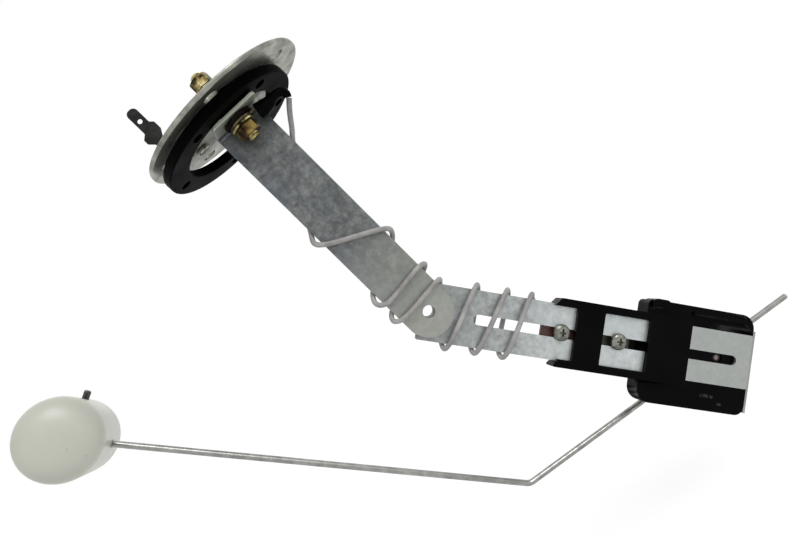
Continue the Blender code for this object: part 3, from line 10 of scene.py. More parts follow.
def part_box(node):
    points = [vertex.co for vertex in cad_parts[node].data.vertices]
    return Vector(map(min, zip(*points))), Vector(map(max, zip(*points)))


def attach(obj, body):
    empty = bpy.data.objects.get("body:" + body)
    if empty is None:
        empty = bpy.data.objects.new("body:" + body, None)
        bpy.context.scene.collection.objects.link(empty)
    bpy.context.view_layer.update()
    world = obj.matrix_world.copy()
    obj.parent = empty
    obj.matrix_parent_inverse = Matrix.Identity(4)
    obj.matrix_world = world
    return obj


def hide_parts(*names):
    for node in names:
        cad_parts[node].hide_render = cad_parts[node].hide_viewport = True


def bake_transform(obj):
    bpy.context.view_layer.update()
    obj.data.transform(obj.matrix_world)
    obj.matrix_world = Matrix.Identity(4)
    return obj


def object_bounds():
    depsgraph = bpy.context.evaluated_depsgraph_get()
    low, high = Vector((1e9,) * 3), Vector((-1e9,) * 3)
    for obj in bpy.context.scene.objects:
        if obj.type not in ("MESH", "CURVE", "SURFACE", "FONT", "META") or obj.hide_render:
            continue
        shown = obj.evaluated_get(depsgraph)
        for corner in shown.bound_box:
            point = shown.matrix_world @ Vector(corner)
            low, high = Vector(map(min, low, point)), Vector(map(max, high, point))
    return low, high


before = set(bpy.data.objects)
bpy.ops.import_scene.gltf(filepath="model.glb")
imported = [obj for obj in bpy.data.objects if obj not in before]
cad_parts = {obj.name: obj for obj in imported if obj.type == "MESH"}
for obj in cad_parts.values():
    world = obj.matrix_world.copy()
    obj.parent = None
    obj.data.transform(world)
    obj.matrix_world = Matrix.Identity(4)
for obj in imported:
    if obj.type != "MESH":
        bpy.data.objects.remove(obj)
frame_low, frame_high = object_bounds()
MM = 0.001
GAP = 0.3 * MM


# Camera: a handheld picture from the sender's front, a little above it and rolled half way to the right, so
# that the flange stands at the upper left and the slotted arm runs down to the right.
def new_object(name, data):
    """An object in the scene, at the origin and unscaled."""
    obj = bpy.data.objects.new(name, data)
    bpy.context.scene.collection.objects.link(obj)
    return obj


def look_from(centre, right, up, back, lens):
    """A camera whose own axes are given, on a 36 mm wide sensor."""
    data = bpy.data.cameras.new("camera")
    data.sensor_width = 36.0
    data.lens = lens
    data.clip_start = 0.01
    data.clip_end = 20.0
    camera = new_object("camera", data)
    rows = zip(right, up, back, centre)
    camera.matrix_world = Matrix([list(row) for row in rows] + [[0.0, 0.0, 0.0, 1.0]])
    bpy.context.scene.camera = camera


look_from(centre=(-24.30 * MM, -222.46 * MM, -59.55 * MM),
          right=(0.68968, -0.15903, -0.70644),
          up=(0.71342, -0.01779, 0.70051),
          back=(-0.12397, -0.98711, 0.10119),
          lens=27.71)


# Light: a white tent with three broad soft lamps, a strong one high in front and weak ones from the left and
# from behind. The pale floor is far enough below the sender to keep only a soft shadow of it.
def lamp(name, strength, spread_degrees, towards):
    """A soft lamp so far away that it is equally strong everywhere."""
    data = bpy.data.lights.new(name, "SUN")
    data.energy = strength
    data.angle = math.radians(spread_degrees)
    obj = new_object(name, data)
    obj.rotation_mode = "QUATERNION"
    obj.rotation_quaternion = Vector(towards).to_track_quat("Z", "Y")


def feed(tree, node, inputs):
    """Gives a node its inputs: each is another node (its first output), an output or a plain value."""
    for key, value in inputs.items():
        given = value.outputs[0] if isinstance(value, bpy.types.Node) else value
        if isinstance(given, bpy.types.NodeSocket):
            tree.links.new(given, node.inputs[key])
        else:
            node.inputs[key].default_value = given
    return node


def add_node(tree, kind, inputs, **settings):
    node = tree.nodes.new(kind)
    for name, value in settings.items():
        setattr(node, name, value)
    return feed(tree, node, inputs)


def maths(tree, operation, first, second):
    return add_node(tree, "ShaderNodeMath", {0: first, 1: second}, operation=operation)


def seen_directly(tree):
    """1 for rays from the camera, from gloss and through glass, 0 for light that is scattered."""
    path = tree.nodes.new("ShaderNodeLightPath").outputs
    pair = maths(tree, "MAXIMUM", path["Is Camera Ray"], path["Is Glossy Ray"])
    return maths(tree, "MAXIMUM", pair, path["Is Transmission Ray"])


def white_tent(scattered_strength):
    """A world that looks white and lights the object more softly than it looks."""
    world = bpy.data.worlds.new("tent")
    bpy.context.scene.world = world
    world.use_nodes = True
    tree = world.node_tree
    level = add_node(tree, "ShaderNodeMapRange",
                     {"Value": seen_directly(tree), "To Min": scattered_strength, "To Max": 1.0})
    feed(tree, tree.nodes["Background"], {"Color": (1.0, 1.0, 1.0, 1.0), "Strength": level})


def pale_floor(height, size, plain_share):
    """A white floor: most of what the camera sees of it is plain white, the rest keeps the shadow."""
    shape = bmesh.new()
    bmesh.ops.create_grid(shape, x_segments=1, y_segments=1, size=size / 2.0)
    bmesh.ops.translate(shape, verts=shape.verts, vec=(0.0, 0.0, height))
    mesh = bpy.data.meshes.new("floor")
    shape.to_mesh(mesh)
    shape.free()
    material = bpy.data.materials.new("floor_white")
    material.use_nodes = True
    tree = material.node_tree
    tree.nodes.remove(tree.nodes["Principled BSDF"])
    matt = add_node(tree, "ShaderNodeBsdfDiffuse", {"Color": (0.98, 0.98, 0.98, 1.0)})
    plain = add_node(tree, "ShaderNodeEmission", {"Strength": 1.12})
    share = maths(tree, "MULTIPLY", seen_directly(tree), plain_share)
    mix = add_node(tree, "ShaderNodeMixShader", {0: share, 1: matt, 2: plain})
    feed(tree, tree.nodes["Material Output"], {"Surface": mix})
    mesh.materials.append(material)
    new_object("floor", mesh)


bpy.context.scene.view_settings.view_transform = "Standard"
lamp("front_lamp", 1.5, 30.0, (0.5, -0.7, 0.8))
lamp("left_lamp", 0.2, 60.0, (-0.7, -0.6, 0.3))
lamp("back_lamp", 0.25, 60.0, (0.2, 0.9, 0.5))
white_tent(0.48)
pale_floor(height=frame_low.z - 30 * MM, size=8.0, plain_share=0.72)


# Lead: one insulated copper wire with a soft grey sleeve of PVC. It leaves the black sleeve under the foot,
# passes behind the upper arm, is wound by hand round both arms, and runs along the back to the sensor's tag.
KNEE_DEPTH = 99.0 * MM
KNEE = Vector((0.0, 0.0, -KNEE_DEPTH))
LOWER_ANGLE = math.radians(35.0)
KNEE_TURN = Matrix.Rotation(math.pi / 2 - LOWER_ANGLE, 4, "Y")
LOWER_FRAME = Matrix.Translation(KNEE) @ KNEE_TURN
ALONG_ARM = KNEE_TURN.to_3x3() @ Vector((1.0, 0.0, 0.0))
ACROSS_ARM = KNEE_TURN.to_3x3() @ Vector((0.0, 0.0, 1.0))
STRIP_THICKNESS = 1.2 * MM
UPPER_FRONT_Y = -7.0 * MM
LOWER_FRONT_Y = UPPER_FRONT_Y + STRIP_THICKNESS + GAP
LOWER_BACK_Y = LOWER_FRONT_Y + STRIP_THICKNESS
UPPER_HALF = 9.3 * MM
LOWER_HALF = 10.55 * MM
STUD_Y = -14.0 * MM
ring_low, ring_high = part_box("lead_ring_terminal")
RING_Z = (ring_low[2] + ring_high[2]) / 2.0
LEAD_RADIUS = 0.95 * MM
BOX_START = 84.6 * MM
TAG_Y = 0.2 * MM
TAG_W = 6.5 * MM
TAG_THICKNESS = 0.6 * MM


def on_lower(along, y, across):
    """A point given in the lower arm's own frame: along it from the knee, through it, and across it."""
    return LOWER_FRAME @ Vector((along, y, across))


def sleeve_keys():
    start = 6.5 * MM
    steps = ((0.0, 0.0, -1.1), (4.0, 0.0, -1.5), (7.0, 0.4, -1.0), (9.3, 0.9, -1.0), (10.9, 1.3, -1.7),
             (11.3, 1.6, -2.9), (10.8, 1.9, -4.0))
    return [Vector((start + x * MM, STUD_Y + y * MM, RING_Z + z * MM)) for x, y, z in steps]


def lead_keys():
    """The points that the lead is led through, from the sleeve to the tag."""
    clear = GAP + LEAD_RADIUS
    front_upper = UPPER_FRONT_Y - clear
    back_upper = UPPER_FRONT_Y + STRIP_THICKNESS + clear
    front_lower = LOWER_FRONT_Y - clear
    back_lower = LOWER_BACK_Y + clear
    edge = 0.2 * MM
    reach = 1.9 * MM

    def upper_crossing(left, right, rise, fall, back_y):
        """One pass over the front of the upper arm; heights are in mm above the knee."""
        middle_y = (front_upper + back_y) / 2.0
        left_z = KNEE.z + left * MM
        right_z = KNEE.z + right * MM
        return [(edge - UPPER_HALF, back_upper, left_z + rise * MM),
                (-UPPER_HALF - reach, middle_y, left_z + 0.4 * rise * MM),
                (edge - UPPER_HALF, front_upper, left_z),
                (UPPER_HALF - edge, front_upper, right_z),
                (UPPER_HALF + reach, middle_y, right_z - 0.4 * fall * MM),
                (UPPER_HALF - edge, back_y, right_z - fall * MM)]

    def lower_crossing(bottom, top):
        """One pass over the front of the lower arm, with its places in mm from the knee."""
        middle_y = (front_lower + back_lower) / 2.0
        return [on_lower((bottom - 2.2) * MM, back_lower, edge - LOWER_HALF),
                on_lower((bottom - 1.1) * MM, middle_y, -LOWER_HALF - reach),
                on_lower(bottom * MM, front_lower, edge - LOWER_HALF),
                on_lower(top * MM, front_lower, LOWER_HALF - edge),
                on_lower((top + 1.4) * MM, middle_y, LOWER_HALF + reach),
                on_lower((top + 2.5) * MM, back_lower, LOWER_HALF + edge)]

    keys = [sleeve_keys()[-1] + Vector((0.3 * MM, 0.1 * MM, -1.6 * GAP))]
    way_down = ((6.0, -3.6, -6.9), (4.1, -1.4, -9.3), (2.3, 1.3, -11.7), (0.6, 2.45, -13.5),
                (-5.5, 2.45, -21.2))
    keys += [(UPPER_HALF + x * MM, UPPER_FRONT_Y + y * MM, RING_Z + z * MM) for x, y, z in way_down]
    keys += upper_crossing(43.0, 32.4, 6.6, 5.5, back_upper)
    keys += upper_crossing(13.3, 13.9, 5.6, 2.6, back_upper)
    keys += upper_crossing(5.3, 5.7, 4.0, 1.6, back_lower)[:-1]
    keys += [on_lower(3.2 * MM, back_lower, LOWER_HALF + edge)]
    keys += lower_crossing(9.3, 15.2)
    keys += lower_crossing(20.5, 26.9)
    keys += lower_crossing(31.2, 36.5)
    end_y = TAG_Y + TAG_THICKNESS + clear
    keys += [on_lower(44.0 * MM, TAG_Y, TAG_W + 1.6 * MM), on_lower(52.0 * MM, end_y - 0.3 * MM, TAG_W),
             on_lower(66.0 * MM, end_y, TAG_W), on_lower(BOX_START - 1.5 * MM, end_y, TAG_W)]
    return [Vector(key) for key in keys]


def smooth_route(keys, spacing):
    """A centripetal Catmull-Rom curve through the keys, with a point every spacing."""
    padded = [2 * keys[0] - keys[1]] + keys + [2 * keys[-1] - keys[-2]]
    route = []
    for p0, p1, p2, p3 in zip(padded, padded[1:], padded[2:], padded[3:]):
        t0 = 0.0
        t1 = t0 + math.sqrt((p1 - p0).length)
        t2 = t1 + math.sqrt((p2 - p1).length)
        t3 = t2 + math.sqrt((p3 - p2).length)
        count = max(2, round((p2 - p1).length / spacing))
        for i in range(count):
            t = t1 + (t2 - t1) * i / count
            a1 = p0.lerp(p1, (t - t0) / (t1 - t0))
            a2 = p1.lerp(p2, (t - t1) / (t2 - t1))
            a3 = p2.lerp(p3, (t - t2) / (t3 - t2))
            b1 = a1.lerp(a2, (t - t0) / (t2 - t0))
            b2 = a2.lerp(a3, (t - t1) / (t3 - t1))
            route.append(b1.lerp(b2, (t - t1) / (t2 - t1)))
    return route + [keys[-1]]


def new_tree(name, output, **inputs):
    """Begins a geometry tree with one output and these inputs, the object's own mesh first."""
    tree = bpy.data.node_groups.new(name, "GeometryNodeTree")
    for title, kind in inputs.items():
        tree.interface.new_socket(title, in_out="INPUT", socket_type=f"NodeSocket{kind}")
    tree.interface.new_socket(output, in_out="OUTPUT", socket_type="NodeSocketGeometry")
    return tree, tree.nodes.new("NodeGroupInput").outputs


def end_tree(tree, made, finish):
    """Ends a geometry tree: instances are made real and get their finish."""
    real = add_node(tree, "GeometryNodeRealizeInstances", {"Geometry": made})
    finished = add_node(tree, "GeometryNodeSetMaterial", {"Geometry": real, "Material": finish})
    add_node(tree, "NodeGroupOutput", {0: finished})
    return tree


def round_wire_tree():
    """Sweeps a circle along a path whose points carry a share of the full radius."""
    tree, given = new_tree("round_wire", "Wire", Path="Geometry", Radius="Float", Facets="Int",
                           Finish="Material")
    path = add_node(tree, "GeometryNodeMeshToCurve", {"Mesh": given["Path"]})
    share = add_node(tree, "GeometryNodeInputNamedAttribute", {"Name": "girth"}, data_type="FLOAT")
    circle = add_node(tree, "GeometryNodeCurvePrimitiveCircle",
                      {"Resolution": given["Facets"], "Radius": given["Radius"]})
    sweep = add_node(tree, "GeometryNodeCurveToMesh",
                     {"Curve": path, "Profile Curve": circle, "Scale": share, "Fill Caps": True})
    smooth = add_node(tree, "GeometryNodeSetShadeSmooth", {"Geometry": sweep})
    return end_tree(tree, smooth, given["Finish"])


def settled(obj):
    """Keeps what the modifiers make of an object as its plain mesh."""
    bpy.context.view_layer.update()
    graph = bpy.context.evaluated_depsgraph_get()
    mesh = bpy.data.meshes.new_from_object(obj.evaluated_get(graph))
    obj.modifiers.clear()
    obj.data = mesh
    mesh.name = obj.name
    return obj


def grown(obj, tree, values):
    """Runs a node tree on an object with these named inputs and keeps the result as its plain mesh."""
    modifier = obj.modifiers.new("made", "NODES")
    modifier.node_group = tree
    for item in tree.interface.items_tree:
        if item.in_out == "INPUT" and item.name in values:
            modifier[item.identifier] = values[item.name]
    return settled(obj)


def round_wire(name, route, radius, finish, facets=20, girths=None):
    """A wire, lead or sleeve along a route."""
    mesh = bpy.data.meshes.new(name)
    mesh.from_pydata([tuple(p) for p in route], [(i, i + 1) for i in range(len(route) - 1)], [])
    girth = mesh.attributes.new("girth", "FLOAT", "POINT")
    for i in range(len(route)):
        girth.data[i].value = 1.0 if girths is None else girths[i]
    return grown(new_object(name, mesh), ROUND_WIRE, {"Radius": radius, "Facets": facets, "Finish": finish})


def linear(red, green, blue):
    """A screen colour from 0 to 255 as a linear one."""
    def channel(value):
        value /= 255.0
        return value / 12.92 if value <= 0.04045 else ((value + 0.055) / 1.055) ** 2.4
    return (channel(red), channel(green), channel(blue), 1.0)


def begin_finish(name, roughness, metallic):
    """A Principled material to build on, and its node tree and shader."""
    material = bpy.data.materials.new(name)
    material.use_nodes = True
    tree = material.node_tree
    shader = feed(tree, tree.nodes["Principled BSDF"], {"Roughness": roughness, "Metallic": metallic})
    return material, tree, shader


def object_noise(tree, scale, detail=4.0, rough=0.55, stretch=(1.0, 1.0, 1.0)):
    """A grain fixed to the object, as a number from about 0.3 to 0.7."""
    place = tree.nodes.new("ShaderNodeTexCoord").outputs["Object"]
    mapping = add_node(tree, "ShaderNodeMapping", {"Vector": place, "Scale": stretch})
    grain = add_node(tree, "ShaderNodeTexNoise",
                     {"Vector": mapping, "Scale": scale, "Detail": detail, "Roughness": rough})
    return grain.outputs["Fac"]


def ramp(tree, number, stops):
    """Colours a number: stops are (place, colour)."""
    node = add_node(tree, "ShaderNodeValToRGB", {"Fac": number})
    elements = node.color_ramp.elements
    while len(elements) < len(stops):
        elements.new(0.5)
    for element, (place, colour) in zip(elements, stops):
        element.position = place
        element.color = colour
    return node


def spread(tree, number, low, high, to_low, to_high):
    """Maps a number from one range onto another."""
    return add_node(tree, "ShaderNodeMapRange",
                    {"Value": number, "From Min": low, "From Max": high, "To Min": to_low, "To Max": to_high})


def mixed(tree, share, first, second):
    """Mixes two colours."""
    mix = add_node(tree, "ShaderNodeMix", {"Factor": share, 6: first, 7: second}, data_type="RGBA")
    return mix.outputs[2]


def dented(tree, shader, height, strength, depth):
    """Gives a surface fine relief from a number."""
    bump = add_node(tree, "ShaderNodeBump", {"Height": height, "Strength": strength, "Distance": depth})
    feed(tree, shader, {"Normal": bump})


def lead_finish():
    """Grey PVC with a faint sheen and dusty patches."""
    material, tree, shader = begin_finish("lead_pvc", 0.42, 0.0)
    grey = ramp(tree, object_noise(tree, 160.0), [(0.3, linear(126, 124, 122)), (0.7, linear(172, 170, 167))])
    sheen = spread(tree, object_noise(tree, 600.0), 0.3, 0.7, 0.34, 0.55)
    feed(tree, shader, {"Base Color": grey, "Roughness": sheen})
    dented(tree, shader, object_noise(tree, 350.0), 0.25, 0.15 * MM)
    return material


ROUND_WIRE = round_wire_tree()
lead = round_wire("lead", smooth_route(lead_keys(), 1.0 * MM), LEAD_RADIUS, lead_finish())
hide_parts("lead_wire")
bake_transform(lead)


# Sleeve: a short length of black rubber tube pushed over the ring terminal's tongue. It leaves the stud
# nearly level and turns down at its end, where it narrows round the lead.
def rubber_finish(name, dark, light, roughness, grain):
    """Black rubber with a dull bloom in soft patches."""
    material, tree, shader = begin_finish(name, roughness, 0.0)
    bloom = object_noise(tree, grain)
    feed(tree, shader, {"Base Color": ramp(tree, bloom, [(0.35, dark), (0.72, light)]),
                        "Roughness": spread(tree, bloom, 0.3, 0.7, roughness - 0.08, roughness + 0.12),
                        "Specular IOR Level": 0.02})
    dented(tree, shader, object_noise(tree, grain * 9.0), 0.3, 0.08 * MM)
    return material


SLEEVE_RADIUS = 2.7 * MM
SLEEVE_END_RADIUS = 1.5 * MM
TAPER_START = 0.2
TAPER_LENGTH = 0.4
sleeve_route = smooth_route(sleeve_keys(), 0.4 * MM)
last = len(sleeve_route) - 1
tapers = [min(max(i / last - TAPER_START, 0.0) / TAPER_LENGTH, 1.0) for i in range(last + 1)]
sleeve_girths = [1.0 + (SLEEVE_END_RADIUS / SLEEVE_RADIUS - 1.0) * taper for taper in tapers]
SLEEVE_RUBBER = rubber_finish("sleeve_rubber", linear(3, 3, 4), linear(9, 9, 10), 0.38, 140.0)
sleeve = round_wire("sleeve", sleeve_route, SLEEVE_RADIUS, SLEEVE_RUBBER, 28, sleeve_girths)
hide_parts("lead_sleeve")
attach(sleeve, "tank_side")


# Flange: a round steel disc, blanked, with its upper rim rolled over by the punch and five bolt holes. Its
# zinc plating is faintly yellow and cloudy, with a few small stains.
def turned(profile, facets, axis="Z", centre=(0.0, 0.0)):
    """A closed solid spun from (radius, height) points about Z or Y through a centre."""
    shape = bmesh.new()
    points = [shape.verts.new((radius, 0.0, height)) for radius, height in profile]
    ring = [shape.edges.new(pair) for pair in zip(points, points[1:] + points[:1])]
    bmesh.ops.spin(shape, geom=points + ring, axis=(0, 0, 1), cent=(0, 0, 0), angle=2 * math.pi,
                   steps=facets, use_merge=True)
    bmesh.ops.remove_doubles(shape, verts=shape.verts, dist=0.001 * MM)
    bmesh.ops.dissolve_degenerate(shape, edges=shape.edges, dist=0.0001 * MM)
    on_the_axis = [edge for edge in shape.edges if not edge.link_faces]
    bmesh.ops.delete(shape, geom=on_the_axis, context="EDGES")
    if axis == "Y":
        bmesh.ops.rotate(shape, verts=shape.verts, matrix=Matrix.Rotation(-math.pi / 2, 3, "X"))
        bmesh.ops.translate(shape, verts=shape.verts, vec=(centre[0], 0.0, centre[1]))
    else:
        bmesh.ops.translate(shape, verts=shape.verts, vec=(centre[0], centre[1], 0.0))
    return shape


def disc(radius, low, high, facets, axis="Z", centre=(0.0, 0.0)):
    return turned([(0.0, low), (radius, low), (radius, high), (0.0, high)], facets, axis, centre)


def smooth_shaded(obj, sharp_degrees):
    """Shades an object smooth, apart from the edges that are sharper than this."""
    obj.data.shade_smooth()
    obj.data.set_sharp_from_angle(angle=math.radians(sharp_degrees))
    return obj


def piece_from(name, shape, finish=None, turn=None, sharp_degrees=32.0):
    """Makes a smooth-shaded object of a bmesh, moved by a matrix if one is given."""
    bmesh.ops.remove_doubles(shape, verts=shape.verts, dist=0.001 * MM)
    bmesh.ops.recalc_face_normals(shape, faces=shape.faces)
    if turn is not None:
        bmesh.ops.transform(shape, matrix=turn, verts=shape.verts)
    mesh = bpy.data.meshes.new(name)
    shape.to_mesh(mesh)
    shape.free()
    if finish is not None:
        mesh.materials.append(finish)
    return smooth_shaded(new_object(name, mesh), sharp_degrees)


def drill(radius, low, high, facets, axis="Z", centre=(0.0, 0.0), turn=None):
    """A round cutter."""
    return piece_from("drill", disc(radius, low, high, facets, axis, centre), turn=turn)


def levelled(obj):
    """Keeps wide flat faces flat in the shading beside small rounded edges."""
    obj.data.set_sharp_from_angle(angle=math.radians(50.0))
    modifier = obj.modifiers.new("normals", "WEIGHTED_NORMAL")
    modifier.keep_sharp = True
    modifier.weight = 90
    return settled(obj)


def shaped(obj, cuts=(), joins=(), trims=()):
    """Adds the joins, keeps what is inside the trims and takes the cuts away. The tools are used up."""
    steps = [("UNION", tool) for tool in joins]
    steps += [("INTERSECT", tool) for tool in trims]
    steps += [("DIFFERENCE", tool) for tool in cuts]
    for operation, tool in steps:
        modifier = obj.modifiers.new("shape", "BOOLEAN")
        modifier.operation = operation
        modifier.solver = "EXACT"
        modifier.object = tool
    settled(obj)
    for _, tool in steps:
        bpy.data.objects.remove(tool, do_unlink=True)
    return levelled(obj)


def softened(obj, width, segments=2, degrees=30.0):
    """Rounds the sharp edges a little, so that they catch the light."""
    modifier = obj.modifiers.new("edges", "BEVEL")
    modifier.width = width
    modifier.segments = segments
    modifier.limit_method = "ANGLE"
    modifier.angle_limit = math.radians(degrees)
    return levelled(settled(obj))


def hole_row_tree():
    """Sets a round cutter on each point of a mesh."""
    tree, given = new_tree("hole_row", "Cutters", Places="Geometry", Radius="Float", Depth="Float",
                           Facets="Int", Finish="Material")
    cutter = add_node(tree, "GeometryNodeMeshCylinder",
                      {"Radius": given["Radius"], "Depth": given["Depth"], "Vertices": given["Facets"]})
    repeat = add_node(tree, "GeometryNodeInstanceOnPoints", {"Points": given["Places"], "Instance": cutter})
    return end_tree(tree, repeat, given["Finish"])


def points_object(name, places):
    mesh = bpy.data.meshes.new(name)
    mesh.from_pydata([tuple(place) for place in places], [], [])
    return new_object(name, mesh)


def polar(radius, angle):
    return (radius * math.cos(angle), radius * math.sin(angle))


def arc(centre, radius, start, end, facets):
    steps = [start + (end - start) * i / facets for i in range(facets + 1)]
    return [(centre[0] + radius * math.cos(a), centre[1] + radius * math.sin(a)) for a in steps]


def bolt_places(circle_radius, turn=0.0):
    """Bolt centres: the first two are closer together, so that the flange fits one way round."""
    close = math.radians(69.0)
    step = (2.0 * math.pi - close) / 4.0
    first = math.radians(-95.6) + turn
    angles = [first] + [first + close + step * i for i in range(4)]
    return [Vector((*polar(circle_radius, angle), 0.0)) for angle in angles]


def mottled_zinc(name, dark, middle, light, roughness=0.42, metallic=0.85, scale=130.0, bumps=0.12):
    """Zinc plating: cloudy patches of three tones, with a fine grain and a few small stains."""
    material, tree, shader = begin_finish(name, roughness, metallic)
    clouds = object_noise(tree, scale, 6.0, 0.6)
    zinc = ramp(tree, clouds, [(0.34, dark), (0.5, middle), (0.66, light)])
    stains = spread(tree, object_noise(tree, scale * 3.7, 3.0, 0.5), 0.62, 0.75, 0.0, 0.5)
    stained = mixed(tree, stains, zinc, tuple(0.55 * channel for channel in dark[:3]) + (1.0,))
    feed(tree, shader, {"Base Color": stained,
                        "Roughness": spread(tree, clouds, 0.3, 0.7, roughness + 0.1, roughness - 0.08)})
    dented(tree, shader, object_noise(tree, scale * 9.0, 3.0, 0.6), bumps, 0.1 * MM)
    return material


HOLE_ROW = hole_row_tree()
FLANGE_RADIUS = 34.0 * MM
FLANGE_THICKNESS = 1.8 * MM
FLANGE_RIM = 0.6 * MM
BOLT_CIRCLE = 27.5 * MM
BOLT_HOLE = 2.8 * MM
STUD_HOLE = 3.9 * MM
RIVET_HOLE = 1.8 * MM
RIVET_PLACE = (-14.0 * MM, 9.0 * MM)
FLANGE_ZINC = mottled_zinc("flange_zinc_plating", linear(116, 117, 109), linear(140, 141, 132),
                           linear(162, 162, 152), 0.36, 0.9, 150.0, 0.1)
profile = [(0.0, 0.0), (FLANGE_RADIUS - 0.3 * MM, 0.0), (FLANGE_RADIUS, 0.3 * MM)]
profile += arc((FLANGE_RADIUS - FLANGE_RIM, FLANGE_THICKNESS - FLANGE_RIM), FLANGE_RIM, 0.0, math.pi / 2, 5)
profile += [(0.0, FLANGE_THICKNESS)]
flange = piece_from("flange", turned(profile, 144), FLANGE_ZINC)
bolt_drills = grown(points_object("bolt_drills", bolt_places(BOLT_CIRCLE)), HOLE_ROW,
                    {"Radius": BOLT_HOLE, "Depth": 8.0 * MM, "Facets": 40, "Finish": FLANGE_ZINC})
shaped(flange, [bolt_drills, drill(STUD_HOLE, -3 * MM, 5 * MM, 40, centre=(0.0, STUD_Y)),
                drill(RIVET_HOLE, -3 * MM, 5 * MM, 24, centre=RIVET_PLACE)])
softened(flange, 0.12 * MM, 2, 50.0)
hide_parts("mounting_flange")
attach(flange, "tank_side")


# Gasket: a thick ring die-cut from black rubber with five small holes. It lies loose under the flange, a
# little off centre and turned, and droops on one side. Its cut faces are matt with a faint bloom.
GASKET_OUTER = 28.6 * MM
GASKET_INNER = 19.8 * MM
GASKET_THICKNESS = 3.6 * MM
GASKET_CIRCLE = 24.2 * MM
GASKET_HOLE = 2.0 * MM
GASKET_TURN = math.radians(-20.0)
GASKET_SHIFT = (-3.7 * MM, 0.8 * MM)
GASKET_TILT = math.radians(4.0)
GASKET_ROLL = math.radians(-1.2)


def soft_ring_profile(inner, outer, low, high, edge, facets=3):
    """The section of a ring with four rounded edges."""
    half = math.pi / 2
    profile = arc((outer - edge, low + edge), edge, -half, 0.0, facets)
    profile += arc((outer - edge, high - edge), edge, 0.0, half, facets)
    profile += arc((inner + edge, high - edge), edge, half, math.pi, facets)
    profile += arc((inner + edge, low + edge), edge, math.pi, 1.5 * math.pi, facets)
    return profile


GASKET_RUBBER = rubber_finish("gasket_rubber", linear(1, 1, 1), linear(6, 6, 6), 0.55, 70.0)
profile = soft_ring_profile(GASKET_INNER, GASKET_OUTER, -GASKET_THICKNESS, 0.0, 0.5 * MM)
gasket = piece_from("gasket", turned(profile, 132), GASKET_RUBBER)
half_down = Vector((0.0, 0.0, -GASKET_THICKNESS / 2))
places = [place + half_down for place in bolt_places(GASKET_CIRCLE, GASKET_TURN)]
gasket_drills = grown(points_object("gasket_drills", places), HOLE_ROW,
                      {"Radius": GASKET_HOLE, "Depth": 9.0 * MM, "Facets": 28, "Finish": GASKET_RUBBER})
shaped(gasket, [gasket_drills])
upright = math.cos(GASKET_TILT) * math.cos(GASKET_ROLL)
gasket_middle = -GAP - GASKET_OUTER * math.sin(math.acos(upright))
lie = Euler((-GASKET_TILT, GASKET_ROLL, 0.0)).to_matrix().to_4x4()
gasket.data.transform(Matrix.Translation((*GASKET_SHIFT, gasket_middle)) @ lie)
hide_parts("flange_gasket")
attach(gasket, "tank_side")


# Stud: rolled brass thread M5 with plain chamfered ends. It carries the sender's current, so it is insulated
# from the flange and from the foot by dark fibre washers with shoulders.
def thread_tree():
    """A spiral ridge whose inner half lies in the core, so that it stands out as a triangle."""
    tree, given = new_tree("thread", "Thread", Core="Geometry", Radius="Float", Height="Float", Turns="Float",
                           Ridge="Float", Place="Vector", Finish="Material")
    spiral = add_node(tree, "GeometryNodeCurveSpiral",
                      {"Resolution": 28, "Rotations": given["Turns"], "Height": given["Height"],
                       "Start Radius": given["Radius"], "End Radius": given["Radius"]})
    ridge = add_node(tree, "GeometryNodeCurvePrimitiveCircle", {"Resolution": 4, "Radius": given["Ridge"]})
    sweep = add_node(tree, "GeometryNodeCurveToMesh",
                     {"Curve": spiral, "Profile Curve": ridge, "Fill Caps": True})
    moved = add_node(tree, "GeometryNodeTransform", {"Geometry": sweep, "Translation": given["Place"]})
    joined = add_node(tree, "GeometryNodeJoinGeometry", {"Geometry": moved})
    feed(tree, joined, {"Geometry": given["Core"]})
    return end_tree(tree, joined, given["Finish"])


def brass_finish(name, dark, middle, light, roughness=0.3):
    """Lacquered brass that has tarnished brown in patches."""
    material, tree, shader = begin_finish(name, roughness, 0.9)
    patches = object_noise(tree, 260.0, 5.0, 0.6)
    feed(tree, shader, {"Base Color": ramp(tree, patches, [(0.36, dark), (0.5, middle), (0.64, light)]),
                        "Roughness": spread(tree, patches, 0.3, 0.7, roughness + 0.15, roughness - 0.05)})
    dented(tree, shader, object_noise(tree, 900.0), 0.15, 0.05 * MM)
    return material


def heights(node):
    low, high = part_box(node)
    return low[2], high[2]


THREAD = thread_tree()
BRASS = brass_finish("tarnished_brass", linear(26, 20, 12), linear(150, 134, 84), linear(226, 218, 176))
stud_low, stud_high = heights("terminal_stud")
core_radius = 1.85 * MM
chamfer = 0.45 * MM
profile = [(0.0, stud_low), (core_radius - chamfer, stud_low), (core_radius, stud_low + chamfer),
           (core_radius, stud_high - chamfer), (core_radius - chamfer, stud_high), (0.0, stud_high)]
stud = piece_from("stud", turned(profile, 36, centre=(0.0, STUD_Y)), BRASS)
pitch = 0.8 * MM
thread_height = stud_high - stud_low - 1.8 * chamfer
thread_start = (0.0, STUD_Y, stud_low + 0.9 * chamfer)
grown(stud, THREAD, {"Radius": core_radius - 0.05 * MM, "Height": thread_height, "Ridge": 0.3 * MM,
                     "Turns": thread_height / pitch, "Place": thread_start, "Finish": BRASS})
smooth_shaded(stud, 32.0)
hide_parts("terminal_stud")
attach(stud, "tank_side")


# Nuts: turned brass hexagons, chamfered on both faces. The top pair locks on itself above the flange, and the
# lower one holds the lead's ring against the foot.
STUD_BORE = 2.4 * MM
NUT_TURN = math.radians(10.0)


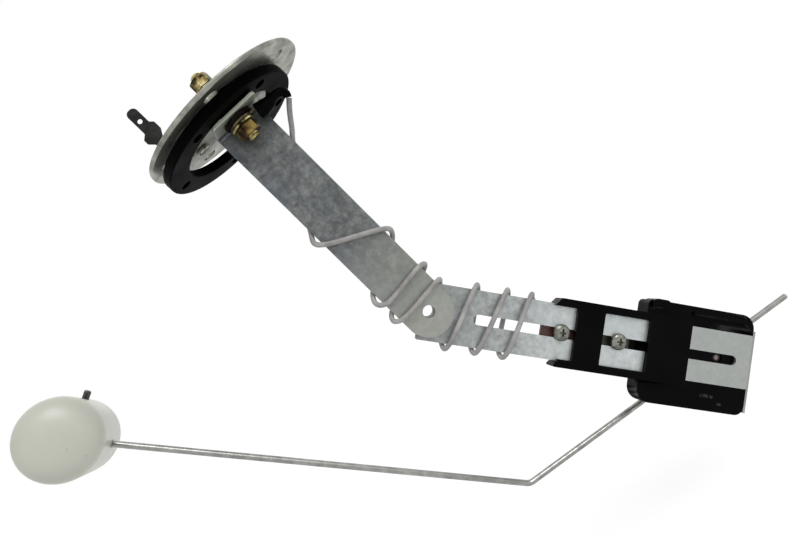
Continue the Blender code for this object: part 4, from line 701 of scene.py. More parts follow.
def prism(outline, low, high, axis="Y"):
    """A prism on an outline: (x, z) along Y, (x, y) along Z or (y, z) along X."""
    place = {
        "X": lambda u, v, h: (h, u, v),
        "Y": lambda u, v, h: (u, h, v),
        "Z": lambda u, v, h: (u, v, h),
    }[axis]
    shape = bmesh.new()
    face = shape.faces.new([shape.verts.new(place(u, v, low)) for u, v in outline])
    added = bmesh.ops.extrude_face_region(shape, geom=[face])
    top = [item for item in added["geom"] if isinstance(item, bmesh.types.BMVert)]
    bmesh.ops.translate(shape, verts=top, vec=Vector(place(0.0, 0.0, high - low)))
    return shape


def hex_nut(node, flats, finish):
    """A nut whose corners are cut back by a cone of 30 degrees above and below."""
    low, high = heights(node)
    corner = flats / math.sqrt(3.0)
    cone = (corner - flats / 2.0) * 0.75
    slant = (MM + cone) * math.tan(math.radians(30.0))
    face = corner - cone - 1.7 * MM
    hexagon = [polar(corner, NUT_TURN + math.pi * i / 3.0) for i in range(6)]
    outline = [(u, v + STUD_Y) for u, v in hexagon]
    nut = piece_from(node.replace("_nut", "") + "_hexagon", prism(outline, low, high, "Z"), finish)
    profile = [(0.0, low - MM), (face, low - MM), (corner + MM, low + slant), (corner + MM, high - slant),
               (face, high + MM), (0.0, high + MM)]
    blank = piece_from("nut_blank", turned(profile, 64, centre=(0.0, STUD_Y)))
    shaped(nut, [drill(STUD_BORE, low - MM, high + MM, 36, centre=(0.0, STUD_Y))], trims=[blank])
    softened(nut, 0.12 * MM, 2, 20.0)
    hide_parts(node)
    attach(nut, "tank_side")


LOWER_BRASS = brass_finish("lower_brass", linear(18, 13, 7), linear(66, 50, 27), linear(138, 116, 64))
hex_nut("lock_nut", 6.4 * MM, BRASS)
hex_nut("terminal_nut", 6.4 * MM, BRASS)
hex_nut("stud_nut", 7.2 * MM, LOWER_BRASS)


# Washers and insulators round the stud: flat brass washers with broken edges, and pressed fibre insulators
# that are dark brown to black, like the spacer between flange and foot.
def stud_ring(node, outer, edge, finish, shoulder=None):
    """A rounded ring on the stud, with a shoulder (radius, height) if it has one."""
    low, high = heights(node)
    body_low = low if shoulder is None or shoulder[1] > 0.0 else low - shoulder[1]
    body_high = high if shoulder is None or shoulder[1] < 0.0 else high - shoulder[1]
    section = soft_ring_profile(STUD_BORE, outer, body_low, body_high, edge)
    ring = piece_from(f"{node}_ring", turned(section, 56, centre=(0.0, STUD_Y)), finish)
    if shoulder is not None:
        inside = 0.4 * MM
        bottom, top = (body_high - inside, high) if shoulder[1] > 0.0 else (low, body_low + inside)
        neck = turned([(STUD_BORE, bottom), (shoulder[0], bottom), (shoulder[0], top), (STUD_BORE, top)],
                      56, centre=(0.0, STUD_Y))
        shaped(ring, joins=[piece_from("shoulder", neck)])
    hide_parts(node)
    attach(ring, "tank_side")


FIBRE = rubber_finish("insulating_fibre", linear(14, 11, 10), linear(40, 31, 27), 0.5, 260.0)
SHOULDER_RADIUS = 3.6 * MM
low, high = heights("flange_insulator")
stud_ring("flange_insulator", 5.5 * MM, 0.25 * MM, FIBRE,
          (SHOULDER_RADIUS, low - (high - 1.5 * MM)))
low, high = heights("foot_insulator")
stud_ring("foot_insulator", 5.6 * MM, 0.25 * MM, FIBRE,
          (SHOULDER_RADIUS, high - (low + 1.2 * MM)))
stud_ring("stud_spacer", 4.1 * MM, 0.3 * MM, FIBRE)
stud_ring("top_washer", 4.7 * MM, 0.12 * MM, BRASS)
stud_ring("lower_washer", 4.7 * MM, 0.12 * MM, BRASS)


# Ground spade: stamped steel with a dark plating. Its foot is riveted to the flange, and the blade that is
# folded up from it has a shoulder, a narrow tip and a small hole.
def corner_arc(before, here, after, radius, facets):
    """The arc that rounds the corner at here."""
    here = Vector(here)
    back = (Vector(before) - here).normalized()
    ahead = (Vector(after) - here).normalized()
    half = back.angle(ahead) / 2.0
    start = here + back * radius / math.tan(half)
    end = here + ahead * radius / math.tan(half)
    middle = here + (back + ahead).normalized() * radius / math.sin(half)
    turn = (start - middle).angle_signed(end - middle)
    first = math.atan2(start.y - middle.y, start.x - middle.x)
    return arc(middle, radius, first, first - turn, facets)


def filleted(corners, facets=6):
    """Rounds each corner (u, v, radius) of an outline with an arc."""
    outline = []
    for i, (u, v, radius) in enumerate(corners):
        if radius > 0.0:
            after = corners[(i + 1) % len(corners)]
            outline += corner_arc(corners[i - 1][:2], (u, v), after[:2], radius, facets)
        else:
            outline.append((u, v))
    return outline


def rectangle(u0, u1, v0, v1, radius=0.0):
    return filleted([(u0, v0, radius), (u1, v0, radius), (u1, v1, radius), (u0, v1, radius)])


DARK_PLATING = mottled_zinc("dark_plating", linear(8, 8, 8), linear(20, 21, 19), linear(40, 41, 38),
                            0.45, 0.6, 200.0, 0.15)
TAB_X = -22.7 * MM
TAB_Y = 3.2 * MM
TAB_THICKNESS = 0.8 * MM
tab_low = FLANGE_THICKNESS + GAP
tip_z = FLANGE_THICKNESS + 23.1 * MM
shoulder_z = FLANGE_THICKNESS + 15.0 * MM
tip = 2.1 * MM
neck = 2.0 * MM


def blade_side(way, shoulder, steps):
    """One edge of the blade, out to its shoulder and back in to its tip; steps are in mm below shoulder_z."""
    widths = (neck, shoulder, shoulder, tip)
    return [(TAB_X + way * width, shoulder_z - step * MM, 0.8 * MM) for width, step in zip(widths, steps)]


right_side = blade_side(1.0, 3.4 * MM, (5.6, 3.4, 0.3, -0.8))
left_side = blade_side(-1.0, 3.9 * MM, (6.4, 4.6, 2.8, 1.4))
blade_outline = filleted([(TAB_X - neck, tab_low, 0.0), (TAB_X + neck, tab_low, 0.0), *right_side,
                          (TAB_X + tip, tip_z, tip * 0.85), (TAB_X - tip, tip_z, tip * 0.85),
                          *reversed(left_side)])
spade = piece_from("spade", prism(blade_outline, TAB_Y, TAB_Y + TAB_THICKNESS), DARK_PLATING)
foot_end = TAB_Y + TAB_THICKNESS + 10.0 * MM
foot_start = TAB_X - neck + 0.4 * MM
foot_side = RIVET_PLACE[0] + 4.2 * MM
foot_outline = filleted([(foot_start, TAB_Y + 0.4 * MM, 0.0), (foot_side, TAB_Y + 0.4 * MM, 1.0 * MM),
                         (foot_side, foot_end, 3.0 * MM), (foot_start, foot_end, 2.0 * MM)])
tab_foot = piece_from("tab_foot", prism(foot_outline, tab_low, tab_low + TAB_THICKNESS, "Z"))
eye = drill(0.9 * MM, TAB_Y - MM, TAB_Y + 2 * MM, 28, "Y", (TAB_X - 0.1 * MM, tip_z - 5.2 * MM))
shaped(spade, [drill(RIVET_HOLE, tab_low - MM, tab_low + 2 * MM, 28, centre=RIVET_PLACE), eye], [tab_foot])
softened(spade, 0.14 * MM, 3, 40.0)
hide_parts("ground_spade")
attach(spade, "tank_side")


# Rivet: a semi-tubular zinc-plated rivet, with its round head inside the gasket and its closed end on the
# foot.
BRIGHT_ZINC = mottled_zinc("bright_zinc", linear(140, 140, 132), linear(158, 158, 149), linear(176, 176, 168),
                           0.3, 0.9, 300.0, 0.12)
rivet_low, rivet_high = heights("ground_rivet")
head_radius = 2.7 * MM
round_in = 0.6 * MM
head_top = tab_low + TAB_THICKNESS + GAP
profile = [(0.0, rivet_low)]
profile += arc((head_radius - round_in, rivet_low + round_in), round_in, -math.pi / 2, 0.0, 5)
profile += [(head_radius, -GAP), (1.5 * MM, -GAP), (1.5 * MM, head_top), (head_radius, head_top)]
profile += arc((head_radius - round_in, rivet_high - round_in), round_in, 0.0, math.pi / 2, 5)
profile += [(0.9 * MM, rivet_high), (0.7 * MM, rivet_high - 0.5 * MM), (0.0, rivet_high - 0.5 * MM)]
rivet = piece_from("rivet", turned(profile, 40, centre=RIVET_PLACE), BRIGHT_ZINC)
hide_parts("ground_rivet")
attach(rivet, "tank_side")


# Upper arm: a strip of plated steel with a round lower end, folded over at the top into a foot under the
# flange. The plating is dull and cloudy, with the shear's fine lines along it; the foot has a painted
# highlight.
def along_object(tree, direction, low, high, strength):
    """0 to strength from low to high along a direction of the object's own coordinates, in metres."""
    place = tree.nodes.new("ShaderNodeTexCoord").outputs["Object"]
    dot = add_node(tree, "ShaderNodeVectorMath", {0: place, 1: direction}, operation="DOT_PRODUCT")
    return spread(tree, dot.outputs["Value"], low, high, 0.0, strength)


def strip_zinc(name, dark, middle, light, tint, along, fades):
    """Dull cloudy plating with faint lines whose grain along stretches; fades change its tone by place."""
    material, tree, shader = begin_finish(name, 0.44, 0.8)
    stops = [(0.36, dark), (0.5, middle), (0.64, light)]
    clouds = object_noise(tree, 230.0, 8.0, 0.72)
    flecks = object_noise(tree, 520.0, 4.0, 0.65)
    zinc = mixed(tree, 0.55, ramp(tree, clouds, stops), ramp(tree, flecks, stops))
    tinted = spread(tree, object_noise(tree, 48.0, 4.0, 0.6), 0.45, 0.6, 0.0, 0.4)
    zinc = mixed(tree, tinted, zinc, tint)
    for direction, low, high, strength, tone in fades:
        zinc = mixed(tree, along_object(tree, direction, low, high, strength), zinc, tone)
    feed(tree, shader, {"Base Color": zinc, "Roughness": spread(tree, clouds, 0.3, 0.7, 0.55, 0.36)})
    dented(tree, shader, object_noise(tree, 700.0, 3.0, 0.6, along), 0.12, 0.08 * MM)
    return material


KNEE_HOLE_RADIUS = 2.3 * MM
BEND_RADIUS = 1.0 * MM
FOOT_LENGTH = 14.0 * MM
FOOT_CORNER = 1.5 * MM
foot_high = heights("upper_arm")[1]
foot_low = foot_high - STRIP_THICKNESS
bend_z = foot_low - BEND_RADIUS
neutral = BEND_RADIUS + STRIP_THICKNESS / 2.0
straight = KNEE_DEPTH + bend_z
bend_length = neutral * math.pi / 2.0


def fold_point(across, along, through):
    """Places a point of the flat strip: along is measured up from the knee, and the foot folds to -Y."""
    bend_y = UPPER_FRONT_Y - BEND_RADIUS
    if along <= straight:
        return (across, UPPER_FRONT_Y + through, along - KNEE_DEPTH)
    radius = BEND_RADIUS + through
    if along <= straight + bend_length:
        angle = (along - straight) / neutral
        return (across, bend_y + radius * math.cos(angle), bend_z + radius * math.sin(angle))
    past = along - straight - bend_length
    return (across, bend_y - past, bend_z + radius)


def edged_blank(outline, thickness, edge):
    """A flat plate along Y whose two rims are rounded off by the edge."""
    shape = prism(outline, 0.0, thickness)
    rims = [e for e in shape.edges if abs(e.verts[0].co.y - e.verts[1].co.y) < 1e-7]
    bmesh.ops.bevel(shape, geom=rims, offset=edge, segments=2, affect="EDGES", profile=0.6)
    return shape


corner = straight + bend_length + FOOT_LENGTH - BEND_RADIUS - FOOT_CORNER
outline = arc((0.0, 0.0), UPPER_HALF, math.pi, 2.0 * math.pi, 48)
outline += arc((UPPER_HALF - FOOT_CORNER, corner), FOOT_CORNER, 0.0, math.pi / 2, 6)
outline += arc((FOOT_CORNER - UPPER_HALF, corner), FOOT_CORNER, math.pi / 2, math.pi, 6)
blank = edged_blank(outline, STRIP_THICKNESS, 0.12 * MM)
for i in range(13):
    place = (0.0, 0.0, straight + bend_length * i / 12.0)
    geometry = blank.verts[:] + blank.edges[:] + blank.faces[:]
    bmesh.ops.bisect_plane(blank, geom=geometry, plane_co=place, plane_no=(0.0, 0.0, 1.0), dist=0.01 * MM)
for vert in blank.verts:
    vert.co = fold_point(vert.co.x, vert.co.z, vert.co.y)
# The second fade is a painted highlight: it lightens the foot's underside, which the lamps leave in shade.
UPPER_ZINC = strip_zinc("upper_strip_zinc", linear(78, 80, 81), linear(101, 104, 104), linear(128, 131, 129),
                        linear(88, 93, 104), (1.0, 1.0, 0.08),
                        (((0.0, 0.0, -1.0), 55 * MM, 100 * MM, 0.55, linear(182, 184, 174)),
                         ((0.0, -1.0, 0.0), 8.5 * MM, 10.5 * MM, 0.8, linear(196, 202, 186))))
upper = piece_from("upper_strip", blank, UPPER_ZINC)
shaped(upper, [drill(KNEE_HOLE_RADIUS, UPPER_FRONT_Y - MM, UPPER_FRONT_Y + 3 * MM, 40, "Y", (0.0, KNEE.z)),
               drill(STUD_HOLE, foot_low - MM, foot_high + MM, 40, centre=(0.0, STUD_Y))])
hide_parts("upper_arm")
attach(upper, "tank_side")


# Lower arm: a wider straight strip with a long slot, punched in one stroke, and a hole that lies behind the
# upper arm's. Its punched edges are bright.
def slot_outline(start, end, width, centre, facets=20):
    radius = width / 2.0
    right = arc((end - radius, centre), radius, -math.pi / 2, math.pi / 2, facets)
    left = arc((start + radius, centre), radius, math.pi / 2, 1.5 * math.pi, facets)
    return right + left


LOWER_START = -3.2 * MM
LOWER_END = 130.2 * MM
SLOT_START = 17.1 * MM
SLOT_END = 124.2 * MM
SLOT_WIDTH = 3.8 * MM
SLOT_SHIFT = -0.2 * MM
outline = rectangle(LOWER_START, LOWER_END, -LOWER_HALF, LOWER_HALF, 0.8 * MM)
blank = edged_blank(outline, STRIP_THICKNESS, 0.12 * MM)
bmesh.ops.translate(blank, verts=blank.verts, vec=(0.0, LOWER_FRONT_Y, 0.0))
LOWER_ZINC = strip_zinc("lower_strip_zinc", linear(142, 146, 144), linear(172, 176, 174),
                        linear(202, 207, 207), linear(164, 172, 174), (0.6, 1.0, 0.6),
                        ((-ALONG_ARM, -125 * MM, -75 * MM, 0.6, linear(104, 106, 104)),
                         (ALONG_ARM, 115 * MM, 135 * MM, 0.5, linear(206, 212, 212)),
                         (ALONG_ARM, 162 * MM, 188 * MM, 0.7, linear(150, 153, 149))))
lower = piece_from("lower_strip", blank, LOWER_ZINC, LOWER_FRAME)
punch_low = LOWER_FRONT_Y - MM
punch_high = LOWER_BACK_Y + MM
slot = prism(slot_outline(SLOT_START, SLOT_END, SLOT_WIDTH, SLOT_SHIFT), punch_low, punch_high)
shaped(lower, [piece_from("slot", slot, turn=LOWER_FRAME),
               drill(KNEE_HOLE_RADIUS, punch_low, punch_high, 40, "Y", (-0.7 * MM, 0.5 * MM), LOWER_FRAME)])
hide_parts("lower_arm")
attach(lower, "tank_side")


# Housing: one glossy black moulding. A slide wraps the slotted arm, two crossbars bridge it, and the box
# behind the arm's end holds the resistor card. Every edge has the small radius of its mould.
# Painted highlights on the housing: grey patches where its rib, its bump and its lower wing catch the light.
PAINTED_HIGHLIGHTS = ((104.0, 120.0, 14.7, 15.5, 62), (85.6, 91.0, 14.4, 15.6, 84), (86.0, 93.0, 17.9, 18.6, 60),
                 (110.0, 117.0, -16.2, -14.6, 78), (118.5, 121.0, -18.6, -17.2, 74))


def arm_patch(tree, start, end, bottom, top):
    """1 inside a soft-edged rectangle of the arm's own frame, in mm along it and across it."""
    soft = 0.9 * MM
    knee_along = KNEE.dot(ALONG_ARM)
    knee_across = KNEE.dot(ACROSS_ARM)
    share = 1.0
    for direction, low in ((ALONG_ARM, knee_along + start * MM), (-ALONG_ARM, -knee_along - end * MM),
                           (ACROSS_ARM, knee_across + bottom * MM), (-ACROSS_ARM, -knee_across - top * MM)):
        share = maths(tree, "MULTIPLY", share, along_object(tree, direction, low, low + soft, 1.0))
    return share


def glossy_black(name, roughness=0.2):
    """Black moulded plastic: glossy, with faint flow marks, fingerprints and a few painted highlights.

    A painted highlight is its start, end, bottom and top on the arm in mm, and its tone.
    """
    material, tree, shader = begin_finish(name, roughness, 0.0)
    flow = object_noise(tree, 45.0, 4.0, 0.55)
    black = ramp(tree, flow, [(0.35, linear(2, 2, 3)), (0.7, linear(7, 7, 8))])
    # Painted highlights: grey patches on the raised edges, standing in for light that the black plastic
    # catches.
    highlight_grain = spread(tree, object_noise(tree, 420.0, 5.0, 0.7), 0.42, 0.56, 0.0, 1.0)
    for *edges, tone in PAINTED_HIGHLIGHTS:
        painted_highlight = ramp(tree, highlight_grain, [(0.1, linear(6, 6, 7)), (0.9, linear(tone, tone, tone))])
        black = mixed(tree, arm_patch(tree, *edges), black, painted_highlight)
    smears = object_noise(tree, 150.0, 5.0, 0.65)
    feed(tree, shader, {"Base Color": black, "Specular IOR Level": 0.04,
                        "Roughness": spread(tree, smears, 0.35, 0.7, roughness - 0.04, roughness + 0.2)})
    dented(tree, shader, object_noise(tree, 500.0, 2.0, 0.5), 0.06, 0.06 * MM)
    return material


BOARD_THICKNESS = 1.2 * MM
PLATE_BACK_Y = LOWER_BACK_Y + GAP + BOARD_THICKNESS
SLIDE_BACK_Y = PLATE_BACK_Y + GAP + 1.6 * MM
BOX_FRONT_Y = LOWER_FRONT_Y + 0.5 * MM
BOX_BACK_Y = BOX_FRONT_Y + 7.3 * MM
BOX_END = 130.5 * MM
BOX_TOP = 18.2 * MM
BOX_BOTTOM = -21.1 * MM
BOX_CORNER = 5.5 * MM
BOX_FLOOR = 1.8 * MM
PIVOT = 116.8 * MM
COVER_SCREWS = ((BOX_START + 5.8 * MM, BOX_TOP - 5.8 * MM), (BOX_END - 5.8 * MM, BOX_BOTTOM + 5.8 * MM))
COVER_SCREW_HOLE = 1.5 * MM
CLAMP_SCREWS = (50.9 * MM, 73.9 * MM)
CLAMP_SCREW_HOLE = 1.7 * MM
channel = LOWER_HALF + GAP
rail = channel + 1.95 * MM
lip = channel - 1.05 * MM
front_inner = LOWER_FRONT_Y - GAP
front = front_inner - 1.5 * MM
rail_end = 102.7 * MM
upper_rail = 49.0 * MM
lower_rail = 48.4 * MM


def box_outline(inset=0.0):
    """The sensor box seen from the front."""
    round_corner = BOX_CORNER - inset
    return filleted([(BOX_START + inset, BOX_BOTTOM + inset, round_corner),
                     (BOX_END - inset, BOX_BOTTOM + inset, round_corner * 0.7),
                     (BOX_END - inset, BOX_TOP - inset, round_corner),
                     (BOX_START + inset, BOX_TOP - inset, round_corner * 0.35)], 8)


def on_arm(name, shape, finish=None):
    return piece_from(name, shape, finish, LOWER_FRAME)


def arm_tool(outline, low, high, axis="Y"):
    return on_arm("tool", prism(outline, low, high, axis))


def arm_drill(radius, low, high, place, facets=28):
    return drill(radius, low, high, facets, "Y", place, LOWER_FRAME)


BLACK = glossy_black("housing_black")
housing = on_arm("housing", prism(box_outline(), BOX_FRONT_Y, BOX_BACK_Y), BLACK)
bump_start = BOX_START + 1.2 * MM
bump_end = bump_start + 7.2 * MM
bump = filleted([(bump_start, BOX_TOP - 3 * MM, 0.0), (bump_end, BOX_TOP - 3 * MM, 0.0),
                 (bump_end, BOX_TOP + 0.5 * MM, 1.4 * MM), (bump_start, BOX_TOP + 0.5 * MM, 2.0 * MM)])
rib = rectangle(103.5 * MM, 126.0 * MM, BOX_TOP - 3.6 * MM, BOX_TOP - 2.0 * MM, 0.5 * MM)
slide = filleted([(lower_rail, -rail, 0.6 * MM), (rail_end, -rail, 0.4 * MM), (rail_end, rail, 0.4 * MM),
                  (upper_rail, rail, 0.6 * MM), (upper_rail - 2.4 * MM, lip, 0.0),
                  (lower_rail + 2.4 * MM, -lip, 0.0)])
joins = [arm_tool(bump, BOX_FRONT_Y - 1.2 * MM, BOX_BACK_Y - 2.0 * MM),
         arm_tool(rib, BOX_FRONT_Y - 0.9 * MM, BOX_FRONT_Y + MM),
         arm_tool(slide, front, SLIDE_BACK_Y)]
head_low = LOWER_BACK_Y + GAP
head_high = head_low + 1.3 * MM
before_slide = lower_rail - 9.0 * MM
behind_lip = front_inner + 0.5 * MM
openings = ((before_slide, BOX_START - MM, channel, 0.0, front_inner, PLATE_BACK_Y + GAP),
            (BOX_START - 2 * MM, rail_end + MM, channel, 0.0, front_inner, head_low),
            (rail_end, BOX_END + 9.0 * MM, channel, 0.0, front - 2 * MM, head_low),
            (before_slide, 56.0 * MM, lip, 0.0, front - MM, behind_lip),
            (66.8 * MM, 85.5 * MM, lip, 0.5 * MM, front - MM, behind_lip),
            (before_slide, 47.0 * MM, lip, 0.0, PLATE_BACK_Y - 0.2 * MM, SLIDE_BACK_Y + MM))
cuts = [arm_tool(rectangle(start, end, -half, half, radius), low, high)
        for start, end, half, radius, low, high in openings]
room = arm_tool(box_outline(2.2 * MM), head_low + BOX_FLOOR, BOX_BACK_Y + MM)
shaped(room, [arm_drill(3.4 * MM, LOWER_FRONT_Y, BOX_BACK_Y + 2 * MM, place, 36) for place in COVER_SCREWS])
cuts += [room]
cuts += [arm_drill(COVER_SCREW_HOLE, BOX_BACK_Y - 4.4 * MM, BOX_BACK_Y + MM, place) for place in COVER_SCREWS]
cuts += [arm_drill(CLAMP_SCREW_HOLE, PLATE_BACK_Y - MM, SLIDE_BACK_Y + MM, (along, 0.0))
         for along in CLAMP_SCREWS]
pin_way = turned([(0.0, head_low - MM), (2.2 * MM, head_low - MM), (2.2 * MM, head_high),
                  (1.4 * MM, head_high), (1.4 * MM, BOX_BACK_Y), (0.0, BOX_BACK_Y)], 36, "Y", (PIVOT, 0.0))
tag_slot = rectangle(TAG_Y - GAP, TAG_Y + TAG_THICKNESS + GAP, TAG_W - 2.3 * MM, TAG_W + 2.3 * MM)
cuts += [on_arm("pin_way", pin_way), arm_tool(tag_slot, BOX_START - MM, BOX_START + 3.2 * MM, "X")]
shaped(housing, cuts, joins)
softened(housing, 0.22 * MM, 3, 40.0)
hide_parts("sensor_housing")
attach(housing, "carriage")


# Clamp plate: a strip of brown phenolic board behind the slot, with two clearance holes for the screws.
def board_finish(name):
    """Brown phenolic board: fibrous, half matt, and dark with oil towards the second screw."""
    material, tree, shader = begin_finish(name, 0.42, 0.0)
    fibres = object_noise(tree, 260.0, 5.0, 0.6, (1.0, 1.0, 0.35))
    brown = ramp(tree, fibres, [(0.3, linear(38, 18, 12)), (0.7, linear(74, 40, 28))])
    oiled = along_object(tree, ALONG_ARM, 135 * MM, 141 * MM, 0.9)
    feed(tree, shader, {"Base Color": mixed(tree, oiled, brown, linear(24, 21, 13))})
    dented(tree, shader, fibres, 0.2, 0.05 * MM)
    return material


BOARD = board_finish("phenolic_board")
outline = rectangle(43.6 * MM, 79.4 * MM, -5.5 * MM, 5.5 * MM, 0.8 * MM)
plate = on_arm("board", edged_blank(outline, BOARD_THICKNESS, 0.1 * MM), BOARD)
plate.data.transform(Matrix.Translation((0.0, head_low, 0.0)))
shaped(plate, [arm_drill(CLAMP_SCREW_HOLE, head_low - MM, PLATE_BACK_Y + MM, (along, 0.0))
               for along in CLAMP_SCREWS])
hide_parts("clamp_plate")
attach(plate, "carriage")


# Screws: pan heads with a pressed cross recess, on the slide, on the rear cover and in the hub. Each kind is
# made once and set on its places.
def placed_tree():
    """Sets a copy of a made object on each point of a mesh."""
    tree, given = new_tree("placed", "Row", Places="Geometry", Thing="Object", Finish="Material")
    thing = add_node(tree, "GeometryNodeObjectInfo", {"Object": given["Thing"]}, transform_space="ORIGINAL")
    repeat = add_node(tree, "GeometryNodeInstanceOnPoints",
                      {"Points": given["Places"], "Instance": thing.outputs["Geometry"]})
    return end_tree(tree, repeat, given["Finish"])


def pan_screw(head_radius, head_height, shank_radius, shank_length, towards):
    """A screw along Y whose head seats at 0 and stands away from towards (+1 or -1)."""
    top = -towards * head_height
    end = towards * shank_length
    crown = [(head_radius * math.sin(a), top + towards * head_height * 0.62 * (1.0 - math.cos(a)))
             for a in [math.pi / 2 * i / 10.0 for i in range(11)]]
    profile = crown + [(head_radius, 0.0), (shank_radius, 0.0), (shank_radius, end - towards * 0.3 * MM),
                       (shank_radius - 0.3 * MM, end), (0.0, end)]
    screw = piece_from("screw", turned(profile, 44, "Y"))
    depths = sorted((top - towards * MM, top + towards * head_height * 0.6))
    cuts = []
    for u, v in ((head_radius * 0.6, head_radius * 0.15), (head_radius * 0.15, head_radius * 0.6)):
        recess = prism(rectangle(-u, u, -v, v), *depths)
        bottom = [vert for vert in recess.verts if (vert.co.y - top) * towards > 0.0]
        bmesh.ops.scale(recess, vec=(0.45, 1.0, 0.45), verts=bottom)
        cuts.append(piece_from("recess", recess))
    shaped(screw, cuts)
    return softened(screw, 0.07 * MM, 2, 35.0)


def screw_row(name, screw, places, y, frame_matrix, nodes, body):
    """Copies of one screw at (u, w) places of a frame, for these CAD nodes."""
    row = points_object(name, [(u, y, w) for u, w in places])
    grown(row, PLACED, {"Thing": screw, "Finish": SCREW_ZINC})
    bpy.data.objects.remove(screw, do_unlink=True)
    row.data.transform(frame_matrix)
    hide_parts(*nodes)
    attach(row, body)


PLACED = placed_tree()
SCREW_ZINC = mottled_zinc("screw_zinc", linear(82, 83, 76), linear(112, 113, 105), linear(150, 151, 143),
                          0.3, 0.9, 420.0, 0.1)
NUT_HEIGHT = 2.2 * MM
nut_low = SLIDE_BACK_Y + GAP
nut_high = nut_low + NUT_HEIGHT
on_slot = [(along, 0.0) for along in CLAMP_SCREWS]
screw_row("clamp_screws", pan_screw(3.15 * MM, 2.2 * MM, 1.4 * MM, nut_high + MM - front_inner, 1.0),
          on_slot, front_inner, LOWER_FRAME, ("clamp_screw_1", "clamp_screw_2"), "carriage")
COVER_BACK_Y = BOX_BACK_Y + GAP + 1.0 * MM
cover_seat = COVER_BACK_Y + GAP
screw_row("cover_screws", pan_screw(2.4 * MM, 1.3 * MM, 1.2 * MM, cover_seat - (BOX_BACK_Y - 4.1 * MM), -1.0),
          COVER_SCREWS, cover_seat, LOWER_FRAME, ("cover_screw_1", "cover_screw_2"), "carriage")
outline = rectangle(-3.25 * MM, 3.25 * MM, -3.25 * MM, 3.25 * MM, 0.5 * MM)
nut = piece_from("square_nut", prism(outline, 0.0, NUT_HEIGHT))
shaped(nut, [drill(CLAMP_SCREW_HOLE, -MM, 4 * MM, 28, "Y")])
softened(nut, 0.2 * MM, 2, 40.0)
screw_row("clamp_nuts", nut, on_slot, nut_low, LOWER_FRAME, ("clamp_nut_1", "clamp_nut_2"), "carriage")


# Rear cover: a thin bright zinc plate on the back of the box, its end folded forward past the box's end.
flap_end = BOX_END + 1.3 * MM
flap_low = BOX_BOTTOM + 1.3 * MM
flap_high = BOX_TOP - 5.8 * MM
outline = filleted([(BOX_START + MM, BOX_BOTTOM + MM, 4.5 * MM), (BOX_END - 4 * MM, BOX_BOTTOM + MM, 0.0),
                    (flap_end, flap_low, 0.0), (flap_end, flap_high, 0.0),
                    (BOX_END - 4 * MM, BOX_TOP - MM, 0.0), (BOX_START + MM, BOX_TOP - MM, 2.0 * MM)])
COVER_ZINC = mottled_zinc("cover_zinc", linear(144, 145, 138), linear(154, 155, 148), linear(164, 165, 158),
                          0.4, 0.85, 90.0, 0.03)
cover = on_arm("cover", prism(outline, BOX_BACK_Y + GAP, COVER_BACK_Y), COVER_ZINC)
flap = rectangle(BOX_END + GAP, flap_end, flap_low, flap_high)
cuts = [arm_drill(5.1 * MM, BOX_BACK_Y - MM, COVER_BACK_Y + MM, (PIVOT, 0.0), 64)]
cuts += [arm_drill(COVER_SCREW_HOLE, BOX_BACK_Y - MM, COVER_BACK_Y + MM, place) for place in COVER_SCREWS]
shaped(cover, cuts, [arm_tool(flap, LOWER_FRONT_Y + MM, BOX_BACK_Y + GAP + 0.5 * MM)])
softened(cover, 0.16 * MM, 2, 40.0)
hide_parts("rear_cover")
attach(cover, "carriage")


# Pin and clip: a steel pin with a flat head in the slot, whose light dot is a painted highlight, and a spring
# clip behind the hub.
def pin_finish():
    """Oiled steel: dark, with a painted highlight as a light spot in the middle of the head."""
    material, tree, shader = begin_finish("oiled_steel", 0.35, 0.8)
    place = tree.nodes.new("ShaderNodeTexCoord").outputs["Object"]
    # Painted highlight: a light spot in the middle of the pin's head.
    head_middle = on_lower(PIVOT, LOWER_BACK_Y + 2 * GAP, 0.0)
    away = add_node(tree, "ShaderNodeVectorMath", {0: place, 1: head_middle}, operation="DISTANCE")
    painted_glint = spread(tree, away.outputs["Value"], 0.7 * MM, 1.1 * MM, 1.0, 0.0)
    grain = object_noise(tree, 500.0)
    dark = ramp(tree, grain, [(0.35, linear(10, 10, 10)), (0.7, linear(30, 29, 28))])
    feed(tree, shader, {"Base Color": mixed(tree, painted_glint, dark, linear(128, 116, 114))})
    dented(tree, shader, grain, 0.1, 0.03 * MM)
    return material


ROD_Y = 10.0 * MM
HUB_BACK_Y = ROD_Y + 3.4 * MM
pin_low = LOWER_BACK_Y + 2 * GAP
pin_end = HUB_BACK_Y + GAP + 1.7 * MM
pin_head = 1.9 * MM
pin_neck = pin_low + 0.7 * MM
pin_radius = 1.1 * MM
profile = [(0.0, pin_low), (pin_head - 0.15 * MM, pin_low), (pin_head, pin_low + 0.15 * MM),
           (pin_head, pin_neck), (pin_radius, pin_neck), (pin_radius, pin_end - 0.3 * MM),
           (pin_radius - 0.3 * MM, pin_end), (0.0, pin_end)]
pin = on_arm("pin", turned(profile, 36, "Y", (PIVOT, 0.0)), pin_finish())
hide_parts("pivot_pin")
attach(pin, "carriage")
mouth = math.radians(35.0)
outline = arc((PIVOT, 0.0), 3.6 * MM, mouth, 2 * math.pi - mouth, 40)
outline += arc((PIVOT, 0.0), 1.4 * MM, 2 * math.pi - mouth, mouth, 28)
clip = on_arm("clip", prism(outline, HUB_BACK_Y + GAP, HUB_BACK_Y + GAP + 0.7 * MM), DARK_PLATING)
softened(clip, 0.1 * MM, 2, 40.0)
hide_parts("pivot_clip")
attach(clip, "carriage")


